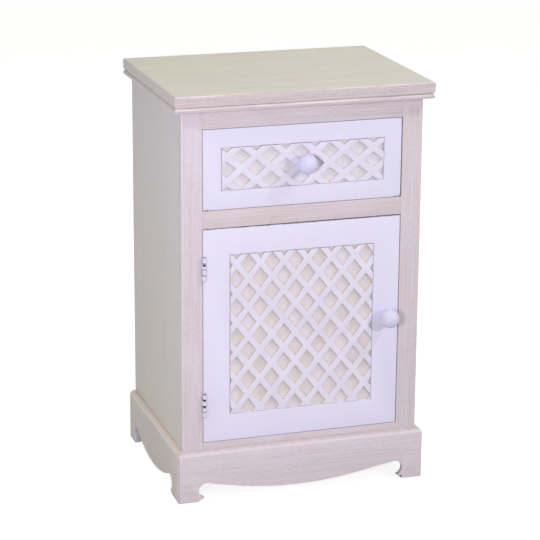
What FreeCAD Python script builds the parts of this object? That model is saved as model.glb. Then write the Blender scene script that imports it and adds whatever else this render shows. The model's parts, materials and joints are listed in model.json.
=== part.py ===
import FreeCAD, Part
import math
import os

V = FreeCAD.Vector

# Nightstand with one drawer over one door, in millimetres.
# X runs to the right of someone facing it, the front faces -Y and Z is up from the floor.
# The origin is on the floor, midway between the sides and midway between knob tip and back.

# Outside sizes
TOP_WIDTH = 420.0
TOP_DEPTH = 320.0
HEIGHT = 660.0
TOP_FRONT_OVERHANG = 16.0
TOP_SIDE_OVERHANG = 14.0

# Top board: a slab over a half-round bead
TOP_SLAB = 18.3
TOP_BEAD = 8.4
TOP_ARRIS = 2.5
TOP_UNDER_ROUND = 4.2

# Case boards
SIDE_BOARD = 12.0
FRAME_BOARD = 18.0
STILE_WIDTH = 32.85
STILE_EASE = 1.0
TOP_RAIL = 28.85
MID_RAIL = 28.2
SILL_SHOW = 11.25
FLOOR_BOARD = 9.0
CASE_LIFT = 42.0
BACK_BOARD = 3.0
BACK_LAP = 6.0
BACK_SINK = 1.0
REAR_RAIL = 18.0
REAR_RAIL_HEIGHT = 36.0
CLEAT = 15.0
DOWEL_RADIUS = 3.0
DOWEL_LENGTH = 30.0
DOWEL_FROM_EDGE = 8.0

# Plinth: three thin boards planted on the case, cut into bracket feet
PLINTH_HEIGHT = 85.5
PLINTH_BOARD = 10.0
PLINTH_ROUND = 8.5
PLINTH_CORNER = 1.5
PLINTH_CLEAR = 1.5
FOOT_FLAT = 32.2
SCROLL_FROM_END = 45.8
SCROLL_RISE = 19.5
SCROLL_RADIUS = 12.4
SPUR_ANGLE = 74.0
BELLY_RISE = 10.3
CORNER_BLOCK = 18.0
BLOCK_CHAMFER = 7.0
GLIDE_RADIUS = 7.0
GLIDE_HEIGHT = 3.0

# Door and drawer fronts
REVEAL = 0.9
DOOR_RIGHT_REVEAL = 1.3
DRAWER_RIGHT_REVEAL = 2.0
DRAWER_HEIGHT = 126.7
FRONT_BOARD = 16.0
FRONT_EASE = 0.8
DOOR_MARGIN = 43.35
DRAWER_MARGIN = 29.45
PANEL_LAP = 8.0
LATTICE_SINK = 0.6
LATTICE_BOARD = 4.0
LATTICE_FIT = 0.4
BACKING_BOARD = 4.0
BACKING_FIT = 0.3
BEAD_SINK = 0.5

# Lattice: diamonds between crossing bars, the same sheet turned a quarter for the drawer
LATTICE_SHORT_PITCH = 38.9
LATTICE_LONG_PITCH = 47.7
LATTICE_BAR = 10.4
DOOR_FIRST_ROW = 17.0
DRAWER_CROSSING_X = -4.3

# Knobs: a ball on a short flared neck
KNOB_RADIUS = 15.6
KNOB_LENGTH = 35.0
KNOB_BASE_RADIUS = 9.0
KNOB_NECK_RADIUS = 6.8
KNOB_WAIST_RADIUS = 7.2
DOOR_KNOB_ABOVE_MIDDLE = 10.0
DRAWER_KNOB_ABOVE_MIDDLE = 3.7
KNOB_SCREW_RADIUS = 2.0
KNOB_SCREW_BITE = 13.0
KNOB_SCREW_HEAD_RADIUS = 4.2
KNOB_SCREW_HEAD = 2.6
KNOB_SCREW_CROWN_RADIUS = 3.0

# Butt hinges on the left edge of the door
HINGE_LENGTH = 38.0
HINGE_FROM_END = 62.65
BARREL_RADIUS = 3.0
BARREL_CLEAR = 0.3
BARREL_OVER_DOOR = 1.9
PIN_RADIUS = 1.3
PIN_HEAD_RADIUS = 2.1
PIN_HEAD = 0.9
PIN_PLAY = 0.3
KNUCKLES = 4
KNUCKLE_GAP = 1.6
LEAF = 1.2
LEAF_DEPTH = 12.0
LEAF_PLAY = 0.2
HINGE_SCREW_SPREAD = 24.0
HINGE_SCREW_LENGTH = 12.0
HINGE_SCREW_HEAD = 2.4
HINGE_SCREW_RADIUS = 1.2

# Magnetic catch behind the right stile
CATCH_HEIGHT = 46.0
CATCH_REACH = 15.0
CATCH_DEPTH = 12.0
CATCH_FLANGE = 3.0
CATCH_FLANGE_WIDTH = 18.0
CATCH_PLAY = 0.3
CATCH_SCREW_SPREAD = 30.0
CATCH_SCREW_LENGTH = 13.0
MAGNET_HEIGHT = 30.0
MAGNET_WIDTH = 6.0
POLE_PLATE = 1.2
STRIKE = 1.2
STRIKE_WIDTH = 12.0
STRIKE_HEIGHT = 34.0
STRIKE_SCREW_LENGTH = 11.0

# Drawer box and its runners
DRAWER_SIDE_ROOM = 7.15
DRAWER_WALL = 10.0
DRAWER_SIDE_EASE = 2.0
DRAWER_BOX_HEIGHT = 98.0
DRAWER_BACK_DROP = 6.0
DRAWER_BOTTOM = 3.0
DRAWER_BOTTOM_RISE = 8.0
DRAWER_GROOVE = 5.0
DRAWER_GROOVE_FIT = 0.3
DRAWER_LIFT = 0.3
DRAWER_SIDE_PLAY = 0.6
RUNNER_LEDGE = 14.0
RUNNER_GUIDE = 16.0
STOP_LENGTH = 24.5
STOP_HEIGHT = 12.0
STOP_PLAY = 0.3
DRAWER_DOWEL_RADIUS = 2.5
DRAWER_DOWEL_FRONT = 10.0
DRAWER_DOWEL_SIDE = 14.0
DRAWER_JOINT_FROM_EDGE = 20.0

# Wood screws and nails
SCREW_HEAD = 3.4
SCREW_RADIUS = 1.7
SCREW_BITE = 8.0
TOP_SCREW_BITE = 12.0
TOP_SCREW_FROM_END = 50.0
RUNNER_SCREW_FROM_END = 42.0
DRAWER_SCREW_LENGTH = 28.0
NAIL_RADIUS = 0.8
NAIL_HEAD_RADIUS = 2.2
NAIL_HEAD = 0.7
NAIL_LENGTH = 14.0
NAIL_ROWS = 4

# Places across the case
CASE_HALF = TOP_WIDTH / 2 - TOP_SIDE_OVERHANG
INNER_HALF = CASE_HALF - SIDE_BOARD
HOLE_HALF = CASE_HALF - STILE_WIDTH
FRONT_HALF = HOLE_HALF - REVEAL

# Places from front to back
CASE_DEPTH = TOP_DEPTH - TOP_FRONT_OVERHANG
FACE = (KNOB_LENGTH - CASE_DEPTH) / 2
BACK = FACE + CASE_DEPTH
FRAME_BACK = FACE + FRAME_BOARD
FRONT_BACK = FACE + FRONT_BOARD
BACK_BOARD_FRONT = BACK - BACK_SINK - BACK_BOARD
LATTICE_FRONT = FACE + LATTICE_SINK
BACKING_FRONT = LATTICE_FRONT + LATTICE_BOARD
BACKING_BACK = BACKING_FRONT + BACKING_BOARD

# Levels above the floor
TOP_UNDER = HEIGHT - TOP_SLAB - TOP_BEAD
DRAWER_HOLE_TOP = TOP_UNDER - TOP_RAIL
DRAWER_TOP = DRAWER_HOLE_TOP - REVEAL
DRAWER_BASE = DRAWER_TOP - DRAWER_HEIGHT
MID_TOP = DRAWER_BASE - REVEAL
MID_BASE = MID_TOP - MID_RAIL
DOOR_TOP = MID_BASE - REVEAL
SILL = PLINTH_HEIGHT + SILL_SHOW
DOOR_BASE = SILL + REVEAL
FLOOR_UNDER = SILL - FLOOR_BOARD

# Hinge line and the mortises that its leaves lie in
HINGE_X = -(HOLE_HALF - REVEAL / 2)
PIN_X = HINGE_X + BARREL_OVER_DOOR
HINGE_Y = FACE - BARREL_RADIUS - BARREL_CLEAR
LEAF_IN = LEAF_PLAY / 2
LEAF_OUT = LEAF_IN + LEAF
UPPER_HINGE = DOOR_TOP - HINGE_FROM_END
LOWER_HINGE = DOOR_BASE + HINGE_FROM_END
HINGE_SCREW_Y = FACE + LEAF_DEPTH / 2 + BARREL_CLEAR

# Knob places
DOOR_KNOB_X = FRONT_HALF - DOOR_MARGIN / 2
DOOR_KNOB_Z = (DOOR_TOP + DOOR_BASE) / 2 + DOOR_KNOB_ABOVE_MIDDLE
DRAWER_MIDDLE = (DRAWER_TOP + DRAWER_BASE) / 2
DRAWER_KNOB_Z = DRAWER_MIDDLE + DRAWER_KNOB_ABOVE_MIDDLE

# Drawer box
BOX_HALF = HOLE_HALF - DRAWER_SIDE_ROOM
BOX_INNER_HALF = BOX_HALF - DRAWER_WALL
BOX_BASE = MID_TOP + DRAWER_LIFT
BOX_TOP = BOX_BASE + DRAWER_BOX_HEIGHT
BOX_END = BACK_BOARD_FRONT - STOP_LENGTH - STOP_PLAY
BOTTOM_BASE = BOX_BASE + DRAWER_BOTTOM_RISE
BOTTOM_TOP = BOTTOM_BASE + DRAWER_BOTTOM

LEFT = V(-1, 0, 0)
RIGHT = V(1, 0, 0)
FORWARD = V(0, -1, 0)
REARWARD = V(0, 1, 0)
UP = V(0, 0, 1)
PAST = 1.0


def box(x0, x1, y0, y1, z0, z1):
    """A plain board between two corners."""
    return Part.makeBox(x1 - x0, y1 - y0, z1 - z0, V(x0, y0, z0))


def eased(shape, radius, chosen):
    """The shape with the chosen straight edges rounded; chosen(edge middle, edge direction) picks them."""
    edges = []
    for edge in shape.Edges:
        start, end = edge.Vertexes[0].Point, edge.Vertexes[-1].Point
        if chosen((start + end) / 2, (end - start).normalize()):
            edges.append(edge)
    return shape.makeFillet(radius, edges)


def mirrored(shape):
    """The same piece for the other side of the nightstand."""
    return shape.mirror(V(0, 0, 0), RIGHT)


def pair(shape):
    """A piece and its mirror image."""
    return [shape, mirrored(shape)]


def line(a, b):
    return Part.LineSegment(a, b).toShape()


def arc(a, middle, b):
    return Part.Arc(a, middle, b).toShape()


def turned(edges, seat, direction):
    """A turned piece: an outline in radius and height spun about its axis, then set on its seat."""
    solid = Part.Face(Part.Wire(edges)).revolve(V(0, 0, 0), UP, 360)
    solid.Placement = FreeCAD.Placement(seat, FreeCAD.Rotation(UP, direction))
    return solid


def turned_points(points, seat, direction):
    """A turned piece with straight outlines, from (radius, height) points."""
    corners = [V(radius, 0, height) for radius, height in points]
    return turned(Part.makePolygon(corners + corners[:1]).Edges, seat, direction)


def flat_head_screw(seat, direction, length, head, shank):
    """A countersunk screw, its head flush with the seat."""
    outline = [(0, 0), (head, 0), (shank, head - shank), (shank, length), (0, length)]
    return turned_points(outline, seat, direction)


def pan_head_screw(seat, direction, length):
    """A machine screw with its crowned head standing on the seat."""
    outline = [(0, -KNOB_SCREW_HEAD), (KNOB_SCREW_CROWN_RADIUS, -KNOB_SCREW_HEAD),
               (KNOB_SCREW_HEAD_RADIUS, -KNOB_SCREW_HEAD / 2), (KNOB_SCREW_HEAD_RADIUS, 0),
               (KNOB_SCREW_RADIUS, 0), (KNOB_SCREW_RADIUS, length), (0, length)]
    return turned_points(outline, seat, direction)


def dowel(start, direction, radius, length):
    """A wooden dowel."""
    return Part.makeCylinder(radius, length, start, direction)


def moulded_block(edge, half, front, back):
    """A block whose front and both sides follow one moulded edge, mitred at the front corners."""
    runs = {}
    places = {
        "front": lambda inset, z: V(-half, front + inset, z),
        "left": lambda inset, z: V(-half + inset, front, z),
        "right": lambda inset, z: V(half - inset, front, z),
    }
    for side, place in places.items():
        runs[side] = edge(place)

    first, last = runs["front"]["ends"]
    back_top = V(first.x, back, first.z)
    back_base = V(last.x, back, last.z)
    closing = [line(last, back_base), line(back_base, back_top), line(back_top, first)]
    front_wire = Part.Wire(runs["front"]["edges"] + closing)
    along = Part.Face(front_wire).extrude(V(2 * half, 0, 0))

    left_first, left_last = runs["left"]["ends"]
    right_first, right_last = runs["right"]["ends"]
    across = runs["left"]["edges"] + [line(left_last, right_last)]
    across += runs["right"]["edges"][::-1] + [line(right_first, left_first)]
    side_wire = Part.Wire(across)
    return along.common(Part.Face(side_wire).extrude(V(0, back - front, 0)))


def top_edge(at):
    """The top board's edge: eased arris, straight face, under-round and half-round bead."""
    bend = math.sqrt(0.5)
    slab_under = HEIGHT - TOP_SLAB
    bead = TOP_BEAD / 2
    first = at(TOP_ARRIS, HEIGHT)
    face_top = at(0, HEIGHT - TOP_ARRIS)
    face_base = at(0, slab_under + TOP_UNDER_ROUND)
    notch = at(TOP_UNDER_ROUND, slab_under)
    last = at(TOP_UNDER_ROUND, TOP_UNDER)
    arris_middle = at(TOP_ARRIS * (1 - bend), HEIGHT - TOP_ARRIS * (1 - bend))
    under_middle = at(TOP_UNDER_ROUND * (1 - bend), slab_under + TOP_UNDER_ROUND * (1 - bend))
    bead_middle = at(TOP_UNDER_ROUND - bead, TOP_UNDER + bead)
    edges = [arc(first, arris_middle, face_top), line(face_top, face_base),
             arc(face_base, under_middle, notch), arc(notch, bead_middle, last)]
    return {"edges": edges, "ends": (first, last)}


def plinth_edge(at):
    """The plinth's edge: a round-over at the top of a plain face."""
    bend = math.sqrt(0.5)
    first = at(PLINTH_ROUND, PLINTH_HEIGHT)
    face_top = at(0, PLINTH_HEIGHT - PLINTH_ROUND)
    last = at(0, PLINTH_CLEAR)
    middle = at(PLINTH_ROUND * (1 - bend), PLINTH_HEIGHT - PLINTH_ROUND * (1 - bend))
    edges = [arc(first, middle, face_top), line(face_top, last)]
    return {"edges": edges, "ends": (first, last)}


def scallop(length, place):
    """The outline cut from a plinth board's lower edge, as a face; place(u, z) gives a point.

    Each end keeps a bracket foot with a spur and a round scroll, and the scrolls run into one
    long belly: the belly's circle touches both scroll circles.
    """
    end = length / 2 - FOOT_FLAT
    scroll_u = length / 2 - SCROLL_FROM_END
    drop = BELLY_RISE - SCROLL_RISE
    belly = (scroll_u ** 2 + drop ** 2 - SCROLL_RADIUS ** 2) / (2 * (SCROLL_RADIUS - drop))
    spur = math.radians(SPUR_ANGLE)
    spur_u = scroll_u + SCROLL_RADIUS * math.cos(spur)
    spur_z = SCROLL_RISE - SCROLL_RADIUS * math.sin(spur)
    share = SCROLL_RADIUS / (belly + SCROLL_RADIUS)
    touch_u = scroll_u * (1 - share)
    touch_z = SCROLL_RISE + share * (BELLY_RISE + belly - SCROLL_RISE)

    below = PLINTH_CLEAR - PAST
    edges = []
    for way in (1, -1):
        foot = place(way * end, PLINTH_CLEAR)
        tip = place(way * spur_u, spur_z)
        touch = place(way * touch_u, touch_z)
        scroll_out = place(way * (scroll_u + SCROLL_RADIUS), SCROLL_RISE)
        run = [line(place(way * end, below), foot), line(foot, tip), arc(tip, scroll_out, touch)]
        edges += run if way == 1 else run[::-1]
        if way == 1:
            edges.append(arc(touch, place(0, BELLY_RISE), place(-touch_u, touch_z)))
    edges.append(line(place(-end, below), place(end, below)))
    return Part.Face(Part.Wire(edges))


def plinth():
    """The three plinth boards: the front one covers the ends of the two side ones."""
    half = CASE_HALF + PLINTH_BOARD
    front = FACE - PLINTH_BOARD
    middle = (FACE + BACK) / 2
    ring = moulded_block(plinth_edge, half, front, BACK)
    ring = ring.cut(box(-CASE_HALF, CASE_HALF, FACE, BACK + PAST, 0, HEIGHT))
    front_board = ring.common(box(-half, half, front, FACE, 0, HEIGHT))
    left_board = ring.common(box(-half, -CASE_HALF, FACE, BACK, 0, HEIGHT))

    front_cut = scallop(2 * half, lambda u, z: V(u, front - PAST, z))
    front_board = front_board.cut(front_cut.extrude(V(0, PLINTH_BOARD + 2 * PAST, 0)))
    side_cut = scallop(CASE_DEPTH, lambda u, z: V(-half - PAST, middle + u, z))
    left_board = left_board.cut(side_cut.extrude(V(PLINTH_BOARD + 2 * PAST, 0, 0)))

    corner = V(-half, front, 0)
    plan = [corner, corner + V(PLINTH_CORNER, 0, 0), corner + V(0, PLINTH_CORNER, 0), corner]
    wedge = Part.Face(Part.makePolygon(plan)).extrude(V(0, 0, HEIGHT))
    for cutter in pair(wedge):
        front_board = front_board.cut(cutter)
    return {"plinth_front": front_board, "plinth_left": left_board,
            "plinth_right": mirrored(left_board)}


def corner_supports():
    """Glue blocks behind the bracket feet, and the glides nailed under them."""
    blocks = []
    glides = []
    inner = CASE_HALF - CORNER_BLOCK
    for near, way in ((FACE, 1), (BACK, -1)):
        far = near + way * CORNER_BLOCK
        bevel_x = inner + BLOCK_CHAMFER
        bevel_y = far - way * BLOCK_CHAMFER
        plan = [V(CASE_HALF, near, GLIDE_HEIGHT), V(CASE_HALF, far, GLIDE_HEIGHT),
                V(bevel_x, far, GLIDE_HEIGHT), V(inner, bevel_y, GLIDE_HEIGHT),
                V(inner, near, GLIDE_HEIGHT)]
        face = Part.Face(Part.makePolygon(plan + plan[:1]))
        blocks += pair(face.extrude(V(0, 0, CASE_LIFT - GLIDE_HEIGHT)))
        centre = V(CASE_HALF - CORNER_BLOCK / 2, near + way * CORNER_BLOCK / 2, 0)
        glides += pair(Part.makeCylinder(GLIDE_RADIUS, GLIDE_HEIGHT, centre))
    return {"corner_blocks": Part.makeCompound(blocks), "foot_glides": Part.makeCompound(glides)}


def frame_dowels():
    """Two dowels across each joint between a rail and a stile."""
    rails = ((DRAWER_HOLE_TOP, TOP_UNDER), (MID_BASE, MID_TOP), (CASE_LIFT, SILL))
    dowels = []
    for base, top in rails:
        for level in (base + DOWEL_FROM_EDGE, top - DOWEL_FROM_EDGE):
            start = V(HOLE_HALF - DOWEL_LENGTH / 2, FACE + FRAME_BOARD / 2, level)
            dowels += pair(dowel(start, RIGHT, DOWEL_RADIUS, DOWEL_LENGTH))
    return Part.makeCompound(dowels)


def face_frame(dowels, stile_fittings, hinge_fittings):
    """Two full-height stiles with three rails between them."""
    stile = box(HOLE_HALF, CASE_HALF, FACE, FRAME_BACK, CASE_LIFT, TOP_UNDER)
    stile = eased(stile, STILE_EASE,
                  lambda at, way: abs(way.z) > 0.5 and at.x > CASE_HALF - PAST and at.y < FACE + PAST)
    rails = {
        "top_rail": (DRAWER_HOLE_TOP, TOP_UNDER),
        "mid_rail": (MID_BASE, MID_TOP),
        "bottom_rail": (CASE_LIFT, SILL),
    }
    nodes = {
        "left_stile": mirrored(stile).cut(dowels).cut(hinge_fittings),
        "right_stile": stile.cut(dowels).cut(stile_fittings),
    }
    for name, (base, top) in rails.items():
        rail = box(-HOLE_HALF, HOLE_HALF, FACE, FRAME_BACK, base, top)
        nodes[name] = rail.cut(dowels)
    return nodes


def back_nails():
    """Nails through the back board into the sides and the two rear rails."""
    base = FLOOR_UNDER - REAR_RAIL_HEIGHT / 2
    top = TOP_UNDER - REAR_RAIL_HEIGHT / 2
    seat_y = BACK_BOARD_FRONT + BACK_BOARD
    outline = [(0, -NAIL_HEAD), (NAIL_HEAD_RADIUS, -NAIL_HEAD), (NAIL_HEAD_RADIUS, 0),
               (NAIL_RADIUS, 0), (NAIL_RADIUS, NAIL_LENGTH), (0, NAIL_LENGTH)]
    nails = []
    for row in range(NAIL_ROWS):
        level = base + (top - base) * row / (NAIL_ROWS - 1)
        seat = V(INNER_HALF + BACK_LAP / 2, seat_y, level)
        nails += pair(turned_points(outline, seat, FORWARD))
    for level in (base, top):
        nails += pair(turned_points(outline, V(INNER_HALF / 3, seat_y, level), FORWARD))
    return Part.makeCompound(nails)


def case_boards(nails, top_screws, runner_screws):
    """Side boards, back, floor, rear rails, cleats and the moulded top."""
    side = box(INNER_HALF, CASE_HALF, FRAME_BACK, BACK, CASE_LIFT, TOP_UNDER)
    rebate = box(INNER_HALF, INNER_HALF + BACK_LAP, BACK_BOARD_FRONT, BACK, CASE_LIFT, TOP_UNDER)
    side = side.cut(rebate)

    back_half = INNER_HALF + BACK_LAP - BACKING_FIT
    rear_base = FLOOR_UNDER - REAR_RAIL_HEIGHT
    back_board = box(-back_half, back_half, BACK_BOARD_FRONT, BACK_BOARD_FRONT + BACK_BOARD,
                     rear_base, TOP_UNDER)
    rear_front = BACK_BOARD_FRONT - REAR_RAIL
    rear_top = box(-INNER_HALF, INNER_HALF, rear_front, BACK_BOARD_FRONT,
                   TOP_UNDER - REAR_RAIL_HEIGHT, TOP_UNDER)
    rear_bottom = box(-INNER_HALF, INNER_HALF, rear_front, BACK_BOARD_FRONT, rear_base, FLOOR_UNDER)
    floor = box(-INNER_HALF, INNER_HALF, FRAME_BACK, BACK_BOARD_FRONT, FLOOR_UNDER, SILL)
    top_cleat = box(INNER_HALF - CLEAT, INNER_HALF, FRAME_BACK, rear_front,
                    TOP_UNDER - CLEAT, TOP_UNDER)
    floor_cleat = box(INNER_HALF - CLEAT, INNER_HALF, FRAME_BACK, rear_front,
                      FLOOR_UNDER - CLEAT, FLOOR_UNDER)
    front = FACE - TOP_FRONT_OVERHANG
    top = moulded_block(top_edge, TOP_WIDTH / 2, front, BACK)
    return {
        "top_board": top.cut(top_screws),
        "left_side_panel": mirrored(side).cut(nails).cut(runner_screws),
        "right_side_panel": side.cut(nails).cut(runner_screws),
        "back_panel": back_board.cut(nails),
        "floor_panel": floor,
        "rear_top_rail": rear_top.cut(nails),
        "rear_bottom_rail": rear_bottom.cut(nails),
        "top_cleats": Part.makeCompound([cleat.cut(top_screws) for cleat in pair(top_cleat)]),
        "floor_cleats": Part.makeCompound(pair(floor_cleat)),
    }


def top_screws():
    """Screws up through the cleats into the top board."""
    cleat_end = BACK_BOARD_FRONT - REAR_RAIL
    screws = []
    for y in (FRAME_BACK + TOP_SCREW_FROM_END, cleat_end - TOP_SCREW_FROM_END):
        seat = V(INNER_HALF - CLEAT / 2, y, TOP_UNDER - CLEAT)
        screws += pair(flat_head_screw(seat, UP, CLEAT + TOP_SCREW_BITE, SCREW_HEAD, SCREW_RADIUS))
    return Part.makeCompound(screws)


def runner_screws():
    """Screws through the drawer runners into the side boards."""
    guide_half = BOX_HALF + DRAWER_SIDE_PLAY
    length = INNER_HALF - guide_half + SCREW_BITE
    screws = []
    for y in (FRAME_BACK + RUNNER_SCREW_FROM_END, BACK_BOARD_FRONT - RUNNER_SCREW_FROM_END):
        seat = V(guide_half, y, MID_TOP + RUNNER_GUIDE / 2)
        screws += pair(flat_head_screw(seat, RIGHT, length, SCREW_HEAD, SCREW_RADIUS))
    return Part.makeCompound(screws)


def drawer_runners(screws):
    """Rebated runners that carry and guide the drawer sides, with a stop block at the rear."""
    guide_half = BOX_HALF + DRAWER_SIDE_PLAY
    ledge_base = MID_TOP - RUNNER_LEDGE
    guide_top = MID_TOP + RUNNER_GUIDE
    section = [(BOX_INNER_HALF, ledge_base), (INNER_HALF, ledge_base), (INNER_HALF, guide_top),
               (guide_half, guide_top), (guide_half, MID_TOP), (BOX_INNER_HALF, MID_TOP)]
    corners = [V(x, FRAME_BACK, z) for x, z in section]
    face = Part.Face(Part.makePolygon(corners + corners[:1]))
    runner = face.extrude(V(0, BACK_BOARD_FRONT - FRAME_BACK, 0))
    stop = box(BOX_INNER_HALF, BOX_HALF, BOX_END + STOP_PLAY, BACK_BOARD_FRONT,
               MID_TOP, MID_TOP + STOP_HEIGHT)
    return {
        "left_drawer_runner": mirrored(runner).cut(screws),
        "right_drawer_runner": runner.cut(screws),
        "drawer_stops": Part.makeCompound(pair(stop)),
    }


def lattice(x0, x1, z0, z1, pitch_x, pitch_z, centre_x, centre_z):
    """A sheet pierced by diamonds in staggered rows; one diamond is centred at the given point."""
    sheet = box(x0, x1, LATTICE_FRONT, BACKING_FRONT, z0, z1)
    to_side = pitch_x * pitch_z / (2 * math.hypot(pitch_x, pitch_z))
    open_share = 1 - LATTICE_BAR / 2 / to_side
    half_x = open_share * pitch_x / 2
    half_z = open_share * pitch_z / 2
    diamonds = []
    for row in range(math.floor((z0 - centre_z) / pitch_z * 2) - 1,
                     math.ceil((z1 - centre_z) / pitch_z * 2) + 2):
        z = centre_z + row * pitch_z / 2
        shift = (row % 2) * pitch_x / 2
        first = math.floor((x0 - centre_x - shift) / pitch_x)
        last = math.ceil((x1 - centre_x - shift) / pitch_x)
        for column in range(first, last + 1):
            x = centre_x + shift + column * pitch_x
            inside = x0 - half_x < x < x1 + half_x and z0 - half_z < z < z1 + half_z
            if inside:
                y = LATTICE_FRONT - PAST
                tips = [V(x - half_x, y, z), V(x, y, z - half_z), V(x + half_x, y, z),
                        V(x, y, z + half_z)]
                face = Part.Face(Part.makePolygon(tips + tips[:1]))
                diamonds.append(face.extrude(V(0, LATTICE_BOARD + 2 * PAST, 0)))
    pierced = sheet.cut(Part.makeCompound(diamonds))
    # A corner chip that no bar holds falls out when the sheet is trimmed
    return max(pierced.Solids, key=lambda solid: solid.Volume)


def framed_front(base, top, right, margin):
    """A front board with an opening, its rear rebate, the backing board and the beads that hold it."""
    open_half = FRONT_HALF - margin
    lap_half = open_half + PANEL_LAP
    low = base + margin
    high = top - margin
    frame = box(-FRONT_HALF, right, FACE, FRONT_BACK, base, top)
    frame = eased(frame, FRONT_EASE, lambda at, way: at.y < FACE + PAST and abs(way.y) < 0.5)
    frame = frame.cut(box(-open_half, open_half, FACE - PAST, FRONT_BACK + PAST, low, high))
    frame = frame.cut(box(-lap_half, lap_half, BACKING_FRONT, FRONT_BACK + PAST,
                          low - PANEL_LAP, high + PANEL_LAP))
    fit = BACKING_FIT
    backing = box(-lap_half + fit, lap_half - fit, BACKING_FRONT, BACKING_BACK,
                  low - PANEL_LAP + fit, high + PANEL_LAP - fit)
    bead_back = FRONT_BACK - BEAD_SINK
    upright = box(open_half, lap_half, BACKING_BACK, bead_back, low - PANEL_LAP, high + PANEL_LAP)
    beads = pair(upright)
    for z in (low - PANEL_LAP, high):
        beads.append(box(-open_half, open_half, BACKING_BACK, bead_back, z, z + PANEL_LAP))
    return frame, backing, Part.makeCompound(beads)


def knob(seat):
    """A turned ball knob on a short flared neck, pointing forward."""
    centre = KNOB_LENGTH - KNOB_RADIUS
    meet = centre - math.sqrt(KNOB_RADIUS ** 2 - KNOB_NECK_RADIUS ** 2)
    edges = [
        line(V(0, 0, 0), V(KNOB_BASE_RADIUS, 0, 0)),
        arc(V(KNOB_BASE_RADIUS, 0, 0), V(KNOB_WAIST_RADIUS, 0, meet / 2), V(KNOB_NECK_RADIUS, 0, meet)),
        arc(V(KNOB_NECK_RADIUS, 0, meet), V(KNOB_RADIUS, 0, centre), V(0, 0, KNOB_LENGTH)),
        line(V(0, 0, KNOB_LENGTH), V(0, 0, 0)),
    ]
    return turned(edges, seat, FORWARD)


def knob_screw(x, back, z, seat_y):
    """The screw from behind a front board into its knob."""
    length = back - seat_y + KNOB_SCREW_BITE
    return pan_head_screw(V(x, back, z), FORWARD, length)


def hinge_leaf(middle, way, screws):
    """One leaf of a butt hinge with its knuckles; way is -1 for the stile and 1 for the door."""
    low = middle - HINGE_LENGTH / 2
    high = middle + HINGE_LENGTH / 2
    xs = sorted((HINGE_X + way * LEAF_IN, HINGE_X + way * LEAF_OUT))
    plate_front = HINGE_Y + BARREL_RADIUS + BARREL_CLEAR
    leaf = box(xs[0], xs[1], plate_front, FACE + LEAF_DEPTH, low, high)
    height = (HINGE_LENGTH - (KNUCKLES - 1) * KNUCKLE_GAP) / KNUCKLES
    first = 0 if way < 0 else 1
    for index in range(first, KNUCKLES, 2):
        z = low + index * (height + KNUCKLE_GAP)
        barrel = Part.makeCylinder(BARREL_RADIUS, height, V(PIN_X, HINGE_Y, z))
        neck = box(xs[0], xs[1], HINGE_Y, plate_front, z, z + height)
        leaf = leaf.fuse(barrel.fuse(neck))
    hole_radius = PIN_RADIUS if way < 0 else PIN_RADIUS + PIN_PLAY
    hole = Part.makeCylinder(hole_radius, HINGE_LENGTH, V(PIN_X, HINGE_Y, low))
    return leaf.cut(hole).removeSplitter().cut(screws)


def hinge_pin(middle):
    """The hinge's pin with a flat head at each end."""
    half = HINGE_LENGTH / 2
    outline = [(0, -half - PIN_HEAD), (PIN_HEAD_RADIUS, -half - PIN_HEAD),
               (PIN_HEAD_RADIUS, -half), (PIN_RADIUS, -half), (PIN_RADIUS, half),
               (PIN_HEAD_RADIUS, half), (PIN_HEAD_RADIUS, half + PIN_HEAD), (0, half + PIN_HEAD)]
    return turned_points(outline, V(PIN_X, HINGE_Y, middle), UP)


def hinge_screws(way):
    """Two screws in each leaf on one side of the hinge line."""
    direction = LEFT if way < 0 else RIGHT
    screws = []
    for middle in (UPPER_HINGE, LOWER_HINGE):
        for offset in (-HINGE_SCREW_SPREAD / 2, HINGE_SCREW_SPREAD / 2):
            seat = V(HINGE_X + way * LEAF_IN, HINGE_SCREW_Y, middle + offset)
            screws.append(flat_head_screw(seat, direction, HINGE_SCREW_LENGTH,
                                          HINGE_SCREW_HEAD, HINGE_SCREW_RADIUS))
    return Part.makeCompound(screws)


def hinge_mortises(way):
    """The shallow recesses that the leaves lie in, as cutters."""
    xs = sorted((HINGE_X, HINGE_X + way * LEAF_OUT))
    cutters = []
    for middle in (UPPER_HINGE, LOWER_HINGE):
        cutters.append(box(xs[0], xs[1], FACE - PAST, FACE + LEAF_DEPTH,
                           middle - HINGE_LENGTH / 2, middle + HINGE_LENGTH / 2))
    return Part.makeCompound(cutters)


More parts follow.
